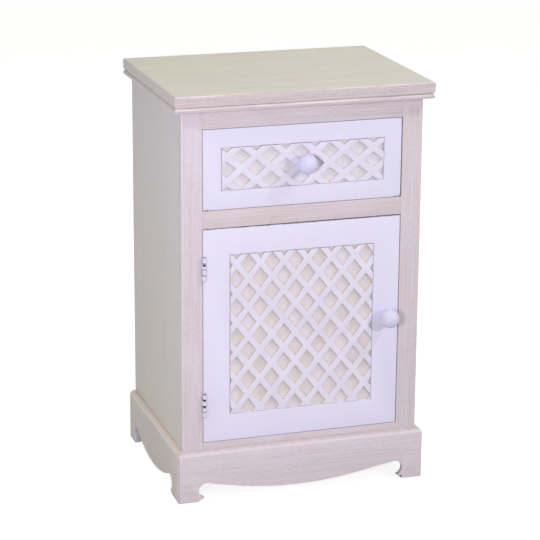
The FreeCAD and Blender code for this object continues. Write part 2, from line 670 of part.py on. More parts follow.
def catch():
    """The magnetic catch on the back of the right stile, and its strike on the door."""
    low = DOOR_KNOB_Z - CATCH_HEIGHT / 2
    high = DOOR_KNOB_Z + CATCH_HEIGHT / 2
    face = FRONT_BACK + STRIKE + CATCH_PLAY
    rear = FRAME_BACK + CATCH_DEPTH
    inner = HOLE_HALF - CATCH_REACH
    edge = HOLE_HALF - CATCH_PLAY
    body = box(inner, edge, face + POLE_PLATE / 2, rear, low, high)
    body = body.fuse(box(inner, HOLE_HALF + CATCH_FLANGE_WIDTH, FRAME_BACK,
                         FRAME_BACK + CATCH_FLANGE, low, high)).removeSplitter()

    middle = (inner + edge) / 2
    magnet_back = (face + rear) / 2
    magnet_low = DOOR_KNOB_Z - MAGNET_HEIGHT / 2
    magnet_high = DOOR_KNOB_Z + MAGNET_HEIGHT / 2
    magnet_half = MAGNET_WIDTH / 2
    magnet = box(middle - magnet_half, middle + magnet_half, face + POLE_PLATE, magnet_back,
                 magnet_low, magnet_high)
    poles = []
    for x in (middle - magnet_half - POLE_PLATE, middle + magnet_half):
        poles.append(box(x, x + POLE_PLATE, face, magnet_back, magnet_low, magnet_high))
    pocket = box(middle - magnet_half - POLE_PLATE, middle + magnet_half + POLE_PLATE, face,
                 magnet_back, magnet_low, magnet_high)

    screw_x = HOLE_HALF + CATCH_FLANGE_WIDTH / 2
    screws = []
    for offset in (-CATCH_SCREW_SPREAD / 2, CATCH_SCREW_SPREAD / 2):
        seat = V(screw_x, FRAME_BACK + CATCH_FLANGE, DOOR_KNOB_Z + offset)
        screws.append(flat_head_screw(seat, FORWARD, CATCH_SCREW_LENGTH, SCREW_HEAD, SCREW_RADIUS))
    screws = Part.makeCompound(screws)

    strike = box(middle - STRIKE_WIDTH / 2, middle + STRIKE_WIDTH / 2, FRONT_BACK,
                 FRONT_BACK + STRIKE, DOOR_KNOB_Z - STRIKE_HEIGHT / 2,
                 DOOR_KNOB_Z + STRIKE_HEIGHT / 2)
    strike_screw = flat_head_screw(V(middle, FRONT_BACK + STRIKE, DOOR_KNOB_Z), FORWARD,
                                   STRIKE_SCREW_LENGTH, HINGE_SCREW_HEAD, HINGE_SCREW_RADIUS)
    return {
        "catch_body": body.cut(pocket).cut(screws),
        "catch_magnet": magnet,
        "catch_pole_plates": Part.makeCompound(poles),
        "catch_screws": screws,
        "strike_plate": strike.cut(strike_screw),
        "strike_screw": strike_screw,
    }


def door(catch_nodes, door_screws):
    """The door: painted frame, lattice over a backing board, knob and screws."""
    frame, backing, beads = framed_front(DOOR_BASE, DOOR_TOP, HOLE_HALF - DOOR_RIGHT_REVEAL, DOOR_MARGIN)
    half = FRONT_HALF - DOOR_MARGIN - LATTICE_FIT
    low = DOOR_BASE + DOOR_MARGIN + LATTICE_FIT
    high = DOOR_TOP - DOOR_MARGIN - LATTICE_FIT
    screen = lattice(-half, half, low, high, LATTICE_SHORT_PITCH, LATTICE_LONG_PITCH,
                     -LATTICE_SHORT_PITCH / 4, high - DOOR_FIRST_ROW)
    screw = knob_screw(DOOR_KNOB_X, FRONT_BACK, DOOR_KNOB_Z, FACE)
    frame = frame.cut(hinge_mortises(1)).cut(door_screws).cut(screw)
    return {
        "door_frame": frame.cut(catch_nodes["strike_screw"]),
        "door_lattice": screen,
        "door_backing": backing,
        "door_panel_beads": beads,
        "door_knob": knob(V(DOOR_KNOB_X, FACE, DOOR_KNOB_Z)).cut(screw),
        "door_knob_screw": screw,
    }


def drawer():
    """The drawer: lattice front, two sides, back, bottom, knob and fixings."""
    right = HOLE_HALF - DRAWER_RIGHT_REVEAL
    frame, backing, beads = framed_front(DRAWER_BASE, DRAWER_TOP, right, DRAWER_MARGIN)
    half = FRONT_HALF - DRAWER_MARGIN - LATTICE_FIT
    low = DRAWER_BASE + DRAWER_MARGIN + LATTICE_FIT
    high = DRAWER_TOP - DRAWER_MARGIN - LATTICE_FIT
    screen = lattice(-half, half, low, high, LATTICE_LONG_PITCH, LATTICE_SHORT_PITCH,
                     DRAWER_CROSSING_X + LATTICE_LONG_PITCH / 2, DRAWER_MIDDLE)
    screw = knob_screw(0, BACKING_BACK, DRAWER_KNOB_Z, LATTICE_FRONT)

    groove_half = BOX_INNER_HALF + DRAWER_GROOVE
    groove_front = FRONT_BACK - DRAWER_GROOVE
    groove = box(-groove_half, groove_half, groove_front, BOX_END, BOTTOM_BASE, BOTTOM_TOP)
    fit = DRAWER_GROOVE_FIT
    bottom = box(-groove_half + fit, groove_half - fit, groove_front + fit, BOX_END,
                 BOTTOM_BASE, BOTTOM_TOP)

    side = box(BOX_INNER_HALF, BOX_HALF, FRONT_BACK, BOX_END, BOX_BASE, BOX_TOP)
    side = eased(side, DRAWER_SIDE_EASE, lambda at, way: abs(way.y) > 0.5 and at.z > BOX_TOP - PAST)
    back_top = BOX_TOP - DRAWER_BACK_DROP
    back = box(-BOX_INNER_HALF, BOX_INNER_HALF, BOX_END - DRAWER_WALL, BOX_END,
               BOTTOM_TOP, back_top)

    dowels = []
    screws = []
    for level in (BOTTOM_TOP + DRAWER_JOINT_FROM_EDGE, back_top - DRAWER_JOINT_FROM_EDGE):
        start = V(BOX_HALF - DRAWER_WALL / 2, FRONT_BACK - DRAWER_DOWEL_FRONT, level)
        dowels += pair(dowel(start, REARWARD, DRAWER_DOWEL_RADIUS,
                             DRAWER_DOWEL_FRONT + DRAWER_DOWEL_SIDE))
        seat = V(BOX_HALF, BOX_END - DRAWER_WALL / 2, level)
        screws += pair(flat_head_screw(seat, LEFT, DRAWER_SCREW_LENGTH, SCREW_HEAD, SCREW_RADIUS))
    dowels = Part.makeCompound(dowels)
    screws = Part.makeCompound(screws)

    return {
        "drawer_front_frame": frame.cut(groove).cut(dowels),
        "drawer_lattice": screen.cut(screw),
        "drawer_backing": backing.cut(screw),
        "drawer_panel_beads": beads,
        "drawer_knob": knob(V(0, LATTICE_FRONT, DRAWER_KNOB_Z)).cut(screw),
        "drawer_knob_screw": screw,
        "drawer_left_side": mirrored(side).cut(groove).cut(dowels).cut(screws),
        "drawer_right_side": side.cut(groove).cut(dowels).cut(screws),
        "drawer_back": back.cut(screws),
        "drawer_bottom": bottom,
        "drawer_dowels": dowels,
        "drawer_back_screws": screws,
    }


def nightstand():
    """Every piece by name."""
    nodes = {
        "frame_dowels": frame_dowels(),
        "back_panel_nails": back_nails(),
        "top_screws": top_screws(),
        "runner_screws": runner_screws(),
        "hinge_frame_screws": hinge_screws(-1),
        "hinge_door_screws": hinge_screws(1),
    }
    nodes.update(catch())
    hinge_cut = Part.makeCompound([hinge_mortises(-1), nodes["hinge_frame_screws"]])
    nodes.update(face_frame(nodes["frame_dowels"], nodes["catch_screws"], hinge_cut))
    nodes.update(case_boards(nodes["back_panel_nails"], nodes["top_screws"], nodes["runner_screws"]))
    nodes.update(drawer_runners(nodes["runner_screws"]))
    nodes.update(plinth())
    nodes.update(corner_supports())
    for place, middle in (("upper", UPPER_HINGE), ("lower", LOWER_HINGE)):
        nodes[place + "_hinge_frame_leaf"] = hinge_leaf(middle, -1, nodes["hinge_frame_screws"])
        nodes[place + "_hinge_door_leaf"] = hinge_leaf(middle, 1, nodes["hinge_door_screws"])
        nodes[place + "_hinge_pin"] = hinge_pin(middle)
    nodes.update(door(nodes, nodes["hinge_door_screws"]))
    nodes.update(drawer())
    return nodes


os.makedirs("parts", exist_ok=True)
for name, shape in nightstand().items():
    shape.exportStep(os.path.join("parts", name + ".step"))
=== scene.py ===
import json
import math

import bmesh
import bpy
from mathutils import Matrix, Vector

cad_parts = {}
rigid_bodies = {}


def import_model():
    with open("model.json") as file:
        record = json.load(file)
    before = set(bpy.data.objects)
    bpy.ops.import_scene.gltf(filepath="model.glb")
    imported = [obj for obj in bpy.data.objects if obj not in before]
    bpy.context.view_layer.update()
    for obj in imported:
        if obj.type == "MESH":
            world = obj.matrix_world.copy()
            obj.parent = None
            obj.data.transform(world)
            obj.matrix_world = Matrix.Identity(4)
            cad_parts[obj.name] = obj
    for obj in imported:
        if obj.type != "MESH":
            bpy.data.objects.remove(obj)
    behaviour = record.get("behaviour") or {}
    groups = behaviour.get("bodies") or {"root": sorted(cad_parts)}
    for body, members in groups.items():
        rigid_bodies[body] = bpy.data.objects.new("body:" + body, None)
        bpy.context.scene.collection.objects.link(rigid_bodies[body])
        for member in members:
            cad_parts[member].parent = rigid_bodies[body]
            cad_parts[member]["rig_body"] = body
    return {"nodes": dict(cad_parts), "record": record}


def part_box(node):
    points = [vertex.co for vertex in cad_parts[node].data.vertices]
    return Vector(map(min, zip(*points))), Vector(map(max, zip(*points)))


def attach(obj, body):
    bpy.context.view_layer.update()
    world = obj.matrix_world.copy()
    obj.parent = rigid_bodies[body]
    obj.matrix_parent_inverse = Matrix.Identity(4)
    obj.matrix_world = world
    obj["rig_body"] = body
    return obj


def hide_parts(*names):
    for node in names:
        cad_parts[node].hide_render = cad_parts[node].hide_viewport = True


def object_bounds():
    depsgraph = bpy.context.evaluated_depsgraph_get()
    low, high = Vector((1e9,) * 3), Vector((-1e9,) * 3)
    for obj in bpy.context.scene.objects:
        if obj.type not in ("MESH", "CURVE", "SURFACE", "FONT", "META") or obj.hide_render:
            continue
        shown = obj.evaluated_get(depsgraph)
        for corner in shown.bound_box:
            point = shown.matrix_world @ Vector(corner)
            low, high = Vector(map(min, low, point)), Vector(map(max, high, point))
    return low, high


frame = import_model()
cad_low, cad_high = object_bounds()

# A whitewashed nightstand with white lattice fronts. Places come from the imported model; sizes are in metres.
MM = 0.001

# Eased edges, and the bead under the slab of the top
BOARD_ARRIS = 0.5 * MM
SHAPED_ARRIS = 0.5 * MM
FRONT_ARRIS = 0.8 * MM
DOOR_LATTICE_ARRIS = 0.3 * MM
DRAWER_LATTICE_ARRIS = 0.12 * MM
PANEL_ARRIS = 0.4 * MM
BEAD_TOP = 643.0 * MM
BEAD_EASE = 1.5 * MM
ARRIS_STEPS = 3
SHARP_ANGLE = math.radians(25)
FLAT_ANGLE = math.radians(0.4)
WELD = 0.001 * MM

# Door and drawer fronts
LATTICE_FIT = 0.4 * MM
PANEL_LAP = 8.0 * MM

# Lattice
SHORT_PITCH = 38.9 * MM
LONG_PITCH = 47.7 * MM
DOOR_BAR = 9.6 * MM
DRAWER_BAR = 10.4 * MM
# Width of the painted shade along the outline of a lattice sheet
GAP_SHADE_WIDTH = 0.8 * MM
SPARE_ROWS = 3
DOOR_FIRST_ROW = 16.15 * MM
DOOR_FIRST_COLUMN = -10.25 * MM
DRAWER_CROSSING_X = -4.55 * MM
DRAWER_BELOW_MIDDLE = 0.55 * MM
DOOR_PITCH = (SHORT_PITCH, LONG_PITCH)
DRAWER_PITCH = (LONG_PITCH, SHORT_PITCH)
DOOR_DIAMOND = (DOOR_FIRST_COLUMN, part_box("door_lattice")[1].z - DOOR_FIRST_ROW)
DRAWER_MIDDLE = sum(corner.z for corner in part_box("drawer_lattice")) / 2
DRAWER_DIAMOND = (DRAWER_CROSSING_X + LONG_PITCH / 2, DRAWER_MIDDLE - DRAWER_BELOW_MIDDLE)
# Where the pattern of dabs behind each lattice is taken from
DOOR_DABS = 24.854
DRAWER_DABS = 8.041

# The saw cut along the front board of the plinth, which leaves the belly a little shallow, most on the right
BELLY_LIFT = 2.9 * MM
BELLY_TILT = 1.9 * MM
BELLY_END = 172.0 * MM
BELLY_FADE = 50.0 * MM
SCROLL_REACH = 160.0 * MM
SCROLL_TOP = 33.0 * MM
SPUR_TOP = 9.0 * MM

# Turned knobs
KNOB_RADIUS = 15.6 * MM
KNOB_BASE_RADIUS = 9.0 * MM
KNOB_NECK_RADIUS = 6.8 * MM
KNOB_WAIST_RADIUS = 7.2 * MM
KNOB_SIDES = 64
KNOB_STEPS = 30
NECK_STEPS = 8

# Hinges
BARREL_RADIUS = 3.0 * MM
BARREL_BORE = 1.6 * MM
KNUCKLES = 4
KNUCKLE_GAP = 0.8 * MM
KNUCKLE_CHAMFER = 0.6 * MM
HINGE_SIDES = 32
NECK_ROOT = 2.4 * MM

# Screws, nails and glides: outer radius of the head, its inner radius, its height, and radius of the shank
SCREW = (3.4 * MM, 1.7 * MM, 1.7 * MM, 1.7 * MM)
HINGE_SCREW = (2.4 * MM, 1.2 * MM, 1.2 * MM, 1.2 * MM)
KNOB_SCREW = (3.0 * MM, 4.2 * MM, 2.6 * MM, 2.0 * MM)
NAIL = (1.7 * MM, 2.2 * MM, 0.7 * MM, 0.8 * MM)
GLIDE = (6.2 * MM, 7.0 * MM, 3.0 * MM, 0.8 * MM)
FASTENER_SIDES = 24
CROSS_SLOT = 0.9 * MM
CROSS_DEPTH = 1.1 * MM
CROSS_RADII = 1.3

# Camera, as the photograph was taken
EYE = Vector((-1.02563, -3.15549, 1.32269))
EYE_YAW = 0.3113
EYE_PITCH = 0.2906
EYE_ROLL = 0.0067
EYE_LENS = 141.487
EYE_SENSOR = 36.0

# Studio: a lamp has an azimuth and elevation in degrees, a distance, a size and a power
FLOOR_HALF = 40.0
FLOOR_GREY = (0.5, 0.5, 0.5, 1.0)
FLOOR_SHADE = (0.35, 0.35, 0.35, 1.0)
FLOOR_GLOW = 0.86
PLAIN_WHITE = (1.0, 1.0, 1.0, 1.0)
LAMPS = {
    "right_softbox": (29.5, 20, 4.0, 0.16, 33.2),
    "left_softbox": (-31, 14, 2.0, 0.12, 11.35),
    "upper_right": (55, 46, 4.0, 0.35, 34.0),
    "left_fill": (-82, 8, 2.6, 1.6, 13.9),
    "overhead": (0, 86, 2.0, 1.6, 8.6),
    "rear_fill": (162, 8, 3.0, 1.6, 20.0),
}
AMBIENT = 0.33
AMBIENT_TINT = (1.0, 0.985, 0.92, 1.0)
LAMP_TINT = (1.0, 1.004, 1.024)

CARDINAL = {"X": Vector((1, 0, 0)), "Y": Vector((0, 1, 0)), "Z": Vector((0, 0, 1))}


class Term:
    """A socket of a node tree that takes part in sums."""

    def __init__(self, graph, socket):
        self.graph = graph
        self.socket = socket

    def sum(self, operation, first, second):
        """A Math node on two values."""
        return self.graph.node("ShaderNodeMath", {"operation": operation}, {0: first, 1: second})

    def __add__(self, other):
        return self.sum("ADD", self, other)

    def __radd__(self, other):
        return self.sum("ADD", other, self)

    def __sub__(self, other):
        return self.sum("SUBTRACT", self, other)

    def __rsub__(self, other):
        return self.sum("SUBTRACT", other, self)

    def __mul__(self, other):
        return self.sum("MULTIPLY", self, other)

    def __rmul__(self, other):
        return self.sum("MULTIPLY", other, self)

    def __truediv__(self, other):
        return self.sum("DIVIDE", self, other)

    def __rtruediv__(self, other):
        return self.sum("DIVIDE", other, self)

    def __pow__(self, other):
        return self.sum("POWER", self, other)

    def __abs__(self):
        return self.sum("ABSOLUTE", self, 0.0)


class Graph:
    """A node tree that grows by calls."""

    def __init__(self, tree):
        self.tree = tree

    def feed(self, socket, value):
        """Links a term, or each of a list of terms, to a socket, or sets a plain value on it."""
        for one in value if isinstance(value, list) else [value]:
            if isinstance(one, Term):
                self.tree.links.new(one.socket, socket)
            else:
                socket.default_value = one

    def node(self, kind, settings=None, inputs=None, output=0):
        """Adds a node, with its settings first and its inputs after, and gives back one output."""
        made = self.tree.nodes.new(kind)
        for key, value in (settings or {}).items():
            setattr(made, key, value)
        for key, value in (inputs or {}).items():
            self.feed(made.inputs[key], value)
        return Term(self, made.outputs[output])

    def vector(self, x, y, z):
        """Three values as one vector."""
        return self.node("ShaderNodeCombineXYZ", None, {0: x, 1: y, 2: z})


class Finish(Graph):
    """A material whose colour, roughness and relief come from nodes on object coordinates."""

    def __init__(self, name, metallic=0.0):
        self.material = bpy.data.materials.new(name)
        self.material.use_nodes = True
        super().__init__(self.material.node_tree)
        self.surface = self.tree.nodes["Principled BSDF"]
        self.surface.inputs["Metallic"].default_value = metallic
        self.place = self.node("ShaderNodeTexCoord", output="Object")

    def paint(self, colour, roughness, height, depth):
        """Joins the finished patterns to the surface."""
        bump = self.node("ShaderNodeBump", None, {"Height": height, "Distance": depth, "Strength": 1.0})
        for socket, value in (("Base Color", colour), ("Roughness", roughness), ("Normal", bump)):
            self.feed(self.surface.inputs[socket], value)
        return self.material

    def noise(self, vector, scale, detail, rough=0.55, twist=0.0):
        """Soft noise, with features about as long as one over its scale."""
        return self.node("ShaderNodeTexNoise", None, {"Vector": vector, "Scale": scale, "Detail": detail,
                                                      "Roughness": rough, "Distortion": twist})

    def streaks(self, grain, share, scale, detail, shift=0.0, **more):
        """Noise drawn out along the grain; a shift takes it from another place in the pattern."""
        move = shift if isinstance(shift, tuple) else (shift, shift, shift)
        stretch = tuple(share if axis == grain else 1.0 for axis in "XYZ")
        drawn = self.node("ShaderNodeMapping", None,
                          {"Vector": self.place, "Location": move, "Scale": stretch})
        return self.noise(drawn, scale, detail, **more)

    def patches(self, scale, low, high, start=0.0, end=1.0, detail=3):
        """Soft patches all over a piece."""
        return self.span(self.noise(self.place, scale, detail), low, high, start, end)

    def span(self, value, low, high, start=0.0, end=1.0):
        """A value carried from one range to another, held at both ends."""
        return self.node("ShaderNodeMapRange", None,
                         {0: value, 1: low, 2: high, 3: start, 4: end})

    def mix(self, share, first, second, blend="MIX"):
        """One colour over another; 6 and 7 are the Mix node's colour sockets."""
        return self.node("ShaderNodeMix", {"data_type": "RGBA", "blend_type": blend},
                         {0: share, 6: first, 7: second}, output=2)

    def tint(self, colour, pattern, low, high, share, over):
        """Lays a share of one colour over another as a pattern goes from low to high."""
        return self.mix(self.span(pattern, low, high) * share, colour, over)

    def mark(self, name):
        """A number that the mesh carries at each point."""
        return self.node("ShaderNodeAttribute", {"attribute_name": name}, output="Fac")

    def facing(self, axis):
        """How far the surface faces along an axis of the object."""
        normal = self.node("ShaderNodeTexCoord", output="Normal")
        return self.node("ShaderNodeSeparateXYZ", None, {0: normal}, output="XYZ".index(axis))

    def near(self, middle, reach):
        """One at a point of the object, falling to nothing at its reach along each axis."""
        away = self.node("ShaderNodeVectorMath", {"operation": "SUBTRACT"}, {0: self.place, 1: middle})
        away = self.node("ShaderNodeVectorMath", {"operation": "DIVIDE"}, {0: away, 1: reach})
        far = self.node("ShaderNodeVectorMath", {"operation": "LENGTH"}, {0: away}, "Value")
        return self.span(far, 1.0, 0.0)

    def at(self, axis):
        """The place along an axis of the object."""
        return self.node("ShaderNodeSeparateXYZ", None, {0: self.place}, output="XYZ".index(axis))


def tone(red, green, blue):
    """A paint tone as it looks in daylight, turned to linear colour."""
    linear = []
    for part in (red, green, blue):
        share = part / 255
        linear.append(share / 12.92 if share < 0.04045 else ((share + 0.055) / 1.055) ** 2.4)
    return (*linear, 1.0)


def dimmed(colour, share):
    """A darker shade of a colour."""
    return (*(part * share for part in colour[:3]), 1.0)


# Finishes
CHALK = tone(234, 224, 239)
WHITE = tone(229, 224, 247)
WARM_WOOD = tone(206, 189, 181)
LILAC = tone(214, 202, 224)

# Single marks on upright faces, among them painted shade and a painted highlight
FACE_Y = -134.5 * MM
PLINTH_Y = -144.5 * MM
MARK_DEPTH = 10.0 * MM
FOOT_DEPTH = 30.0 * MM


def mark_at(x, z, wide, high, colour, share, y=FACE_Y, depth=MARK_DEPTH):
    """A single mark: its middle, its reach along each axis, its tone and its strength."""
    return (x, y, z), (wide, depth, high), colour, share


# The first mark is a lavender patch of wash; the second is chalk with a painted highlight along the stile's
# outer arris
LEFT_STILE_MARKS_AND_HIGHLIGHT = [mark_at(-0.180, 0.590, 0.060, 0.130, tone(222, 209, 227), 0.5),
                    mark_at(-0.196, 0.370, 0.0020, 1.5, tone(244, 232, 246), 0.7)]
RIGHT_STILE_MARKS = [mark_at(0.180, 0.612, 0.024, 0.020, tone(201, 187, 198), 0.7)]
SILL_MARKS = [mark_at(0.000, 0.0860, 0.400, 0.005, tone(201, 186, 186), 0.7),
              mark_at(0.030, 0.0860, 0.060, 0.006, tone(214, 193, 176), 0.45),
              mark_at(0.126, 0.0860, 0.026, 0.006, tone(214, 193, 176), 0.35)]
PLINTH_MARKS = [mark_at(0.184, 0.062, 0.0022, 0.008, tone(236, 226, 234), 0.9, PLINTH_Y),
                mark_at(0.1695, 0.0055, 0.0055, 0.0050, tone(40, 32, 36), 1.0, PLINTH_Y, FOOT_DEPTH)]
# Painted shade: a dark line along the top edge of the door, where the gap under the mid rail lies in shade
DOOR_GAP_SHADE = [mark_at(0.060, 0.4468, 0.500, 0.0030, tone(84, 72, 88), 0.85)]
# Painted shade: the first mark darkens a band along the top of the drawer front; the others are dark marks at
# its lower corners
DRAWER_SHADE_AND_MARKS = [mark_at(0.000, 0.602, 0.900, 0.045, tone(222, 218, 241), 0.75),
                mark_at(-0.1562, 0.4770, 0.0065, 0.0030, tone(96, 78, 84), 0.9),
                mark_at(0.1540, 0.4775, 0.0100, 0.0035, tone(176, 164, 180), 0.7),
                mark_at(0.1604, 0.4782, 0.0042, 0.0050, tone(84, 66, 74), 0.9)]
# Two marks on the top: middle, reach along each axis, tone and strength
TOP_MARKS = [((0.1462, -0.0458, 0.660), (0.0030, 0.0030, 0.01), tone(246, 242, 234), 1.0),
             ((-0.188, -0.0115, 0.660), (0.016, 0.006, 0.01), tone(206, 192, 172), 0.6)]
# Spots of grease on the barrels of the hinges, by level and with how black they are
GREASE_REACH = 2.0 * MM
GREASE_WIDTH = 2.2 * MM
GREASE_TURN = 0.9 * MM
HINGE_GREASE = [(0.4040, 0.3), (0.3913, 1.0), (0.3835, 0.1), (0.3749, 0.5),
                (0.1800, 0.6), (0.1702, 1.0), (0.1590, 1.0), (0.1508, 0.5)]


def brushed_wash(finish, grain, wood, wash, shift):
    """Pale wood showing through wash in fine streaks along the grain: colour, cover and relief."""
    line = finish.streaks(grain, 0.010, 880, 1, shift)
    dash = finish.streaks(grain, 0.14, 900, 1, shift)
    broad = finish.streaks(grain, 0.25, 26, 2, shift)
    warm = finish.streaks(grain, 0.12, 190, 1.5, (shift + 3, shift, shift))
    streak = line * 0.55 + dash * 0.45
    cover = finish.span(streak + broad * 0.12, 0.41, 0.71)
    colour = finish.tint(finish.mix(cover, wood, wash), warm, 0.50, 0.72, 0.22, WARM_WOOD)
    return colour, cover, streak


def marked(finish, colour, marks):
    """Lays single marks over a colour: smears, worn patches and spots, and bands of painted shade and painted
    highlight.
    """
    for middle, reach, mark_tone, share in marks:
        edge = finish.noise(finish.place, 160, 3)
        colour = finish.tint(colour, finish.near(middle, reach) + edge * 0.7, 0.75, 1.15, share, mark_tone)
    return colour


def washed_wood(name, grain, wood, wash, shift=0.0, marks=()):
    """Brushed whitewash: chalky on the arrises, thick in places, greyer as painted shade where a board faces
    sideways.
    """
    finish = Finish(name)
    colour, cover, relief = brushed_wash(finish, grain, wood, wash, shift)
    hue = finish.streaks(grain, 0.20, 75, 1, (shift, shift + 5, shift))
    pool = finish.streaks(grain, 0.35, 17, 3, shift)
    sideways_shade = finish.mix(cover, tone(199, 192, 190), tone(212, 207, 208))
    dabs = finish.patches(90, 0.36, 0.60, 0.05, 0.45)
    colour = finish.tint(colour, hue, 0.50, 0.68, 0.18, LILAC)
    colour = finish.tint(colour, hue, 0.50, 0.32, 0.14, WARM_WOOD)
    colour = finish.tint(colour, pool, 0.52, 0.72, 0.2, CHALK)
    # Painted shade: faces that look sideways take the greyer tone of the case sides
    colour = finish.tint(colour, abs(finish.facing("X")), 0.55, 0.9, 0.85, sideways_shade)
    colour = finish.mix(finish.mark("arris") * dabs, colour, CHALK)
    colour = marked(finish, colour, marks)
    return finish.paint(colour, finish.span(cover, 0, 1, 0.68, 0.54), relief, 0.12 * MM)


def washed_side(name, shift):
    """The case sides: greyer and darker than the front as painted shade, lavender towards the top, with faint
    pink and green clouds.
    """
    finish = Finish(name)
    # Painted shade: the sides' base tones greyer and darker than the wash of the front boards
    colour, cover, relief = brushed_wash(finish, "Z", tone(199, 193, 188), tone(211, 206, 203), shift)
    cloud = finish.streaks("Z", 0.6, 13, 2, shift)
    fleck = finish.streaks("Z", 0.5, 130, 1, shift)
    high = finish.at("Z") - finish.at("Y") * 0.6
    dabs = finish.patches(90, 0.36, 0.60, 0.2, 0.8)
    colour = finish.tint(colour, cloud, 0.5, 0.72, 0.5, tone(212, 202, 202))
    colour = finish.tint(colour, cloud, 0.5, 0.3, 0.7, tone(203, 203, 191))
    colour = finish.tint(colour, fleck, 0.42, 0.64, 0.7, tone(213, 201, 193))
    colour = finish.tint(colour, high, 0.1, 0.75, 0.75, tone(211, 207, 217))
    colour = finish.mix(finish.mark("arris") * dabs, colour, tone(224, 220, 226))
    return finish.paint(colour, finish.span(cover, 0, 1, 0.68, 0.56), relief, 0.1 * MM)


def washed_plinth(name, grain, wood, wash, crest, worn, shift, marks=(), sawn=None):
    """Plinth boards: a thin chalky line on the crest of the round, worn warm above it, and painted shade on
    the sideways half of each corner with chalk and a painted highlight on its front half.
    """
    finish = Finish(name)
    colour, cover, relief = brushed_wash(finish, grain, wood, wash, shift)
    up = finish.facing("Z")
    strip = finish.span(up, 0.58, 0.80)
    crown = finish.span(up, 0.10, 0.40) * (1 - strip)
    corner = finish.span(abs(finish.facing("X") * finish.facing("Y")), 0.2, 0.42)
    lean = abs(finish.facing("Y")) - abs(finish.facing("X"))
    dabs = finish.patches(130, 0.36, 0.58, 0.45, 1.0)
    colour = finish.mix(crown * dabs, colour, crest)
    # Painted shade on the half of a rounded corner that faces sideways; chalk and painted highlight on the
    # half that faces the front
    colour = finish.tint(colour, lean, 0.5, 0.1, corner * 0.9, tone(190, 175, 173))
    colour = finish.tint(colour, lean, 0.5, 0.75, corner * dabs, CHALK)
    colour = finish.mix(finish.mark("arris") * 0.25, colour, crest)
    colour = finish.mix(strip * finish.span(dabs, 0.45, 1.0, 1.0, 0.6), colour, worn)
    if sawn:
        colour = finish.mix(finish.span(finish.facing("Y"), -0.3, -0.7), colour, sawn)
    colour = marked(finish, colour, marks)
    return finish.paint(colour, finish.span(cover, 0, 1, 0.68, 0.54), relief, 0.16 * MM)


def washed_top():
    """The top board: streaked upper face tinted cream as painted light, pink front edge with a faint chalky
    arris and painted highlight, ends greyer as painted shade, faces that look down lightened as painted light.
    """
    finish = Finish("washed_top")
    edge, cover, relief = brushed_wash(finish, "X", tone(194, 177, 182), tone(216, 204, 211), 0.0)
    fleck = finish.streaks("X", 0.15, 420, 3, rough=0.6)
    band = finish.streaks("X", 0.12, 60, 3, (2.3, 1.1, 0))
    broad = finish.streaks("X", 0.35, 14, 2)
    cream = finish.span(fleck * 0.6 + broad * 0.4, 0.36, 0.64)
    # Painted light: the upper face tinted cream, as if lit by warmer light from above than the front
    top = finish.mix(cream, tone(207, 203, 184), tone(217, 213, 199))
    top = finish.tint(top, band, 0.55, 0.75, 0.8, tone(227, 219, 194))
    top = finish.tint(top, band, 0.45, 0.28, 0.6, tone(209, 201, 190))
    top = finish.tint(top, finish.at("X") - finish.at("Y"), -0.3, 0.35, 0.45, tone(219, 212, 207))
    top = marked(finish, top, TOP_MARKS)
    up = finish.facing("Z")
    flat = finish.span(up, 0.93, 0.99)
    ends = finish.span(abs(finish.facing("X")), 0.5, 0.8)
    bead = tone(216, 202, 226)
    edge = finish.tint(edge, finish.at("Z"), BEAD_TOP, BEAD_TOP - BEAD_EASE, 0.15, bead)
    # Painted shade: the ends of the top, which face sideways, greyer
    edge = finish.mix(ends, edge, finish.mix(cover, tone(190, 180, 177), tone(209, 202, 200)))
    # Painted light: faces that look down, under the slab and in the groove, lightened against their shade
    edge = finish.mix(finish.span(up, -0.2, -0.6), edge, tone(226, 213, 213))
    front = finish.span(finish.facing("Y"), -0.05, -0.3)
    dabs = finish.span(finish.streaks("X", 0.2, 90, 3), 0.42, 0.62)
    # Chalk and painted highlight: a broken pale line on the front arris only, the side that faces the light
    chalk_and_highlight = finish.span(up, 0.12, 0.5) * (1 - flat) * front * dabs
    colour = finish.mix(chalk_and_highlight, finish.mix(flat, edge, top), tone(229, 217, 227))
    return finish.paint(colour, finish.span(cover, 0, 1, 0.66, 0.52), relief, 0.1 * MM)


def white_paint(name, base, roughness, marks=()):
    """Sprayed paint: faint unevenness, a thin grey line on the arrises, a few brown chips, and any single
    marks given, among them bands of painted shade.
    """
    finish = Finish(name)
    peel = finish.noise(finish.place, 650, 2)
    arris = finish.mark("arris")
    chips = arris * finish.patches(130, 0.67, 0.71, detail=4)
    colour = finish.mix(finish.patches(14, 0.3, 0.7), dimmed(base, 0.98), base)
    colour = finish.mix(arris * 0.3, colour, tone(205, 198, 212))
    colour = finish.mix(chips, colour, tone(120, 96, 84))
    colour = marked(finish, colour, marks)
    rough = finish.span(peel, 0.3, 0.7, roughness - 0.05, roughness + 0.06)
    return finish.paint(colour, rough, peel, 0.03 * MM)


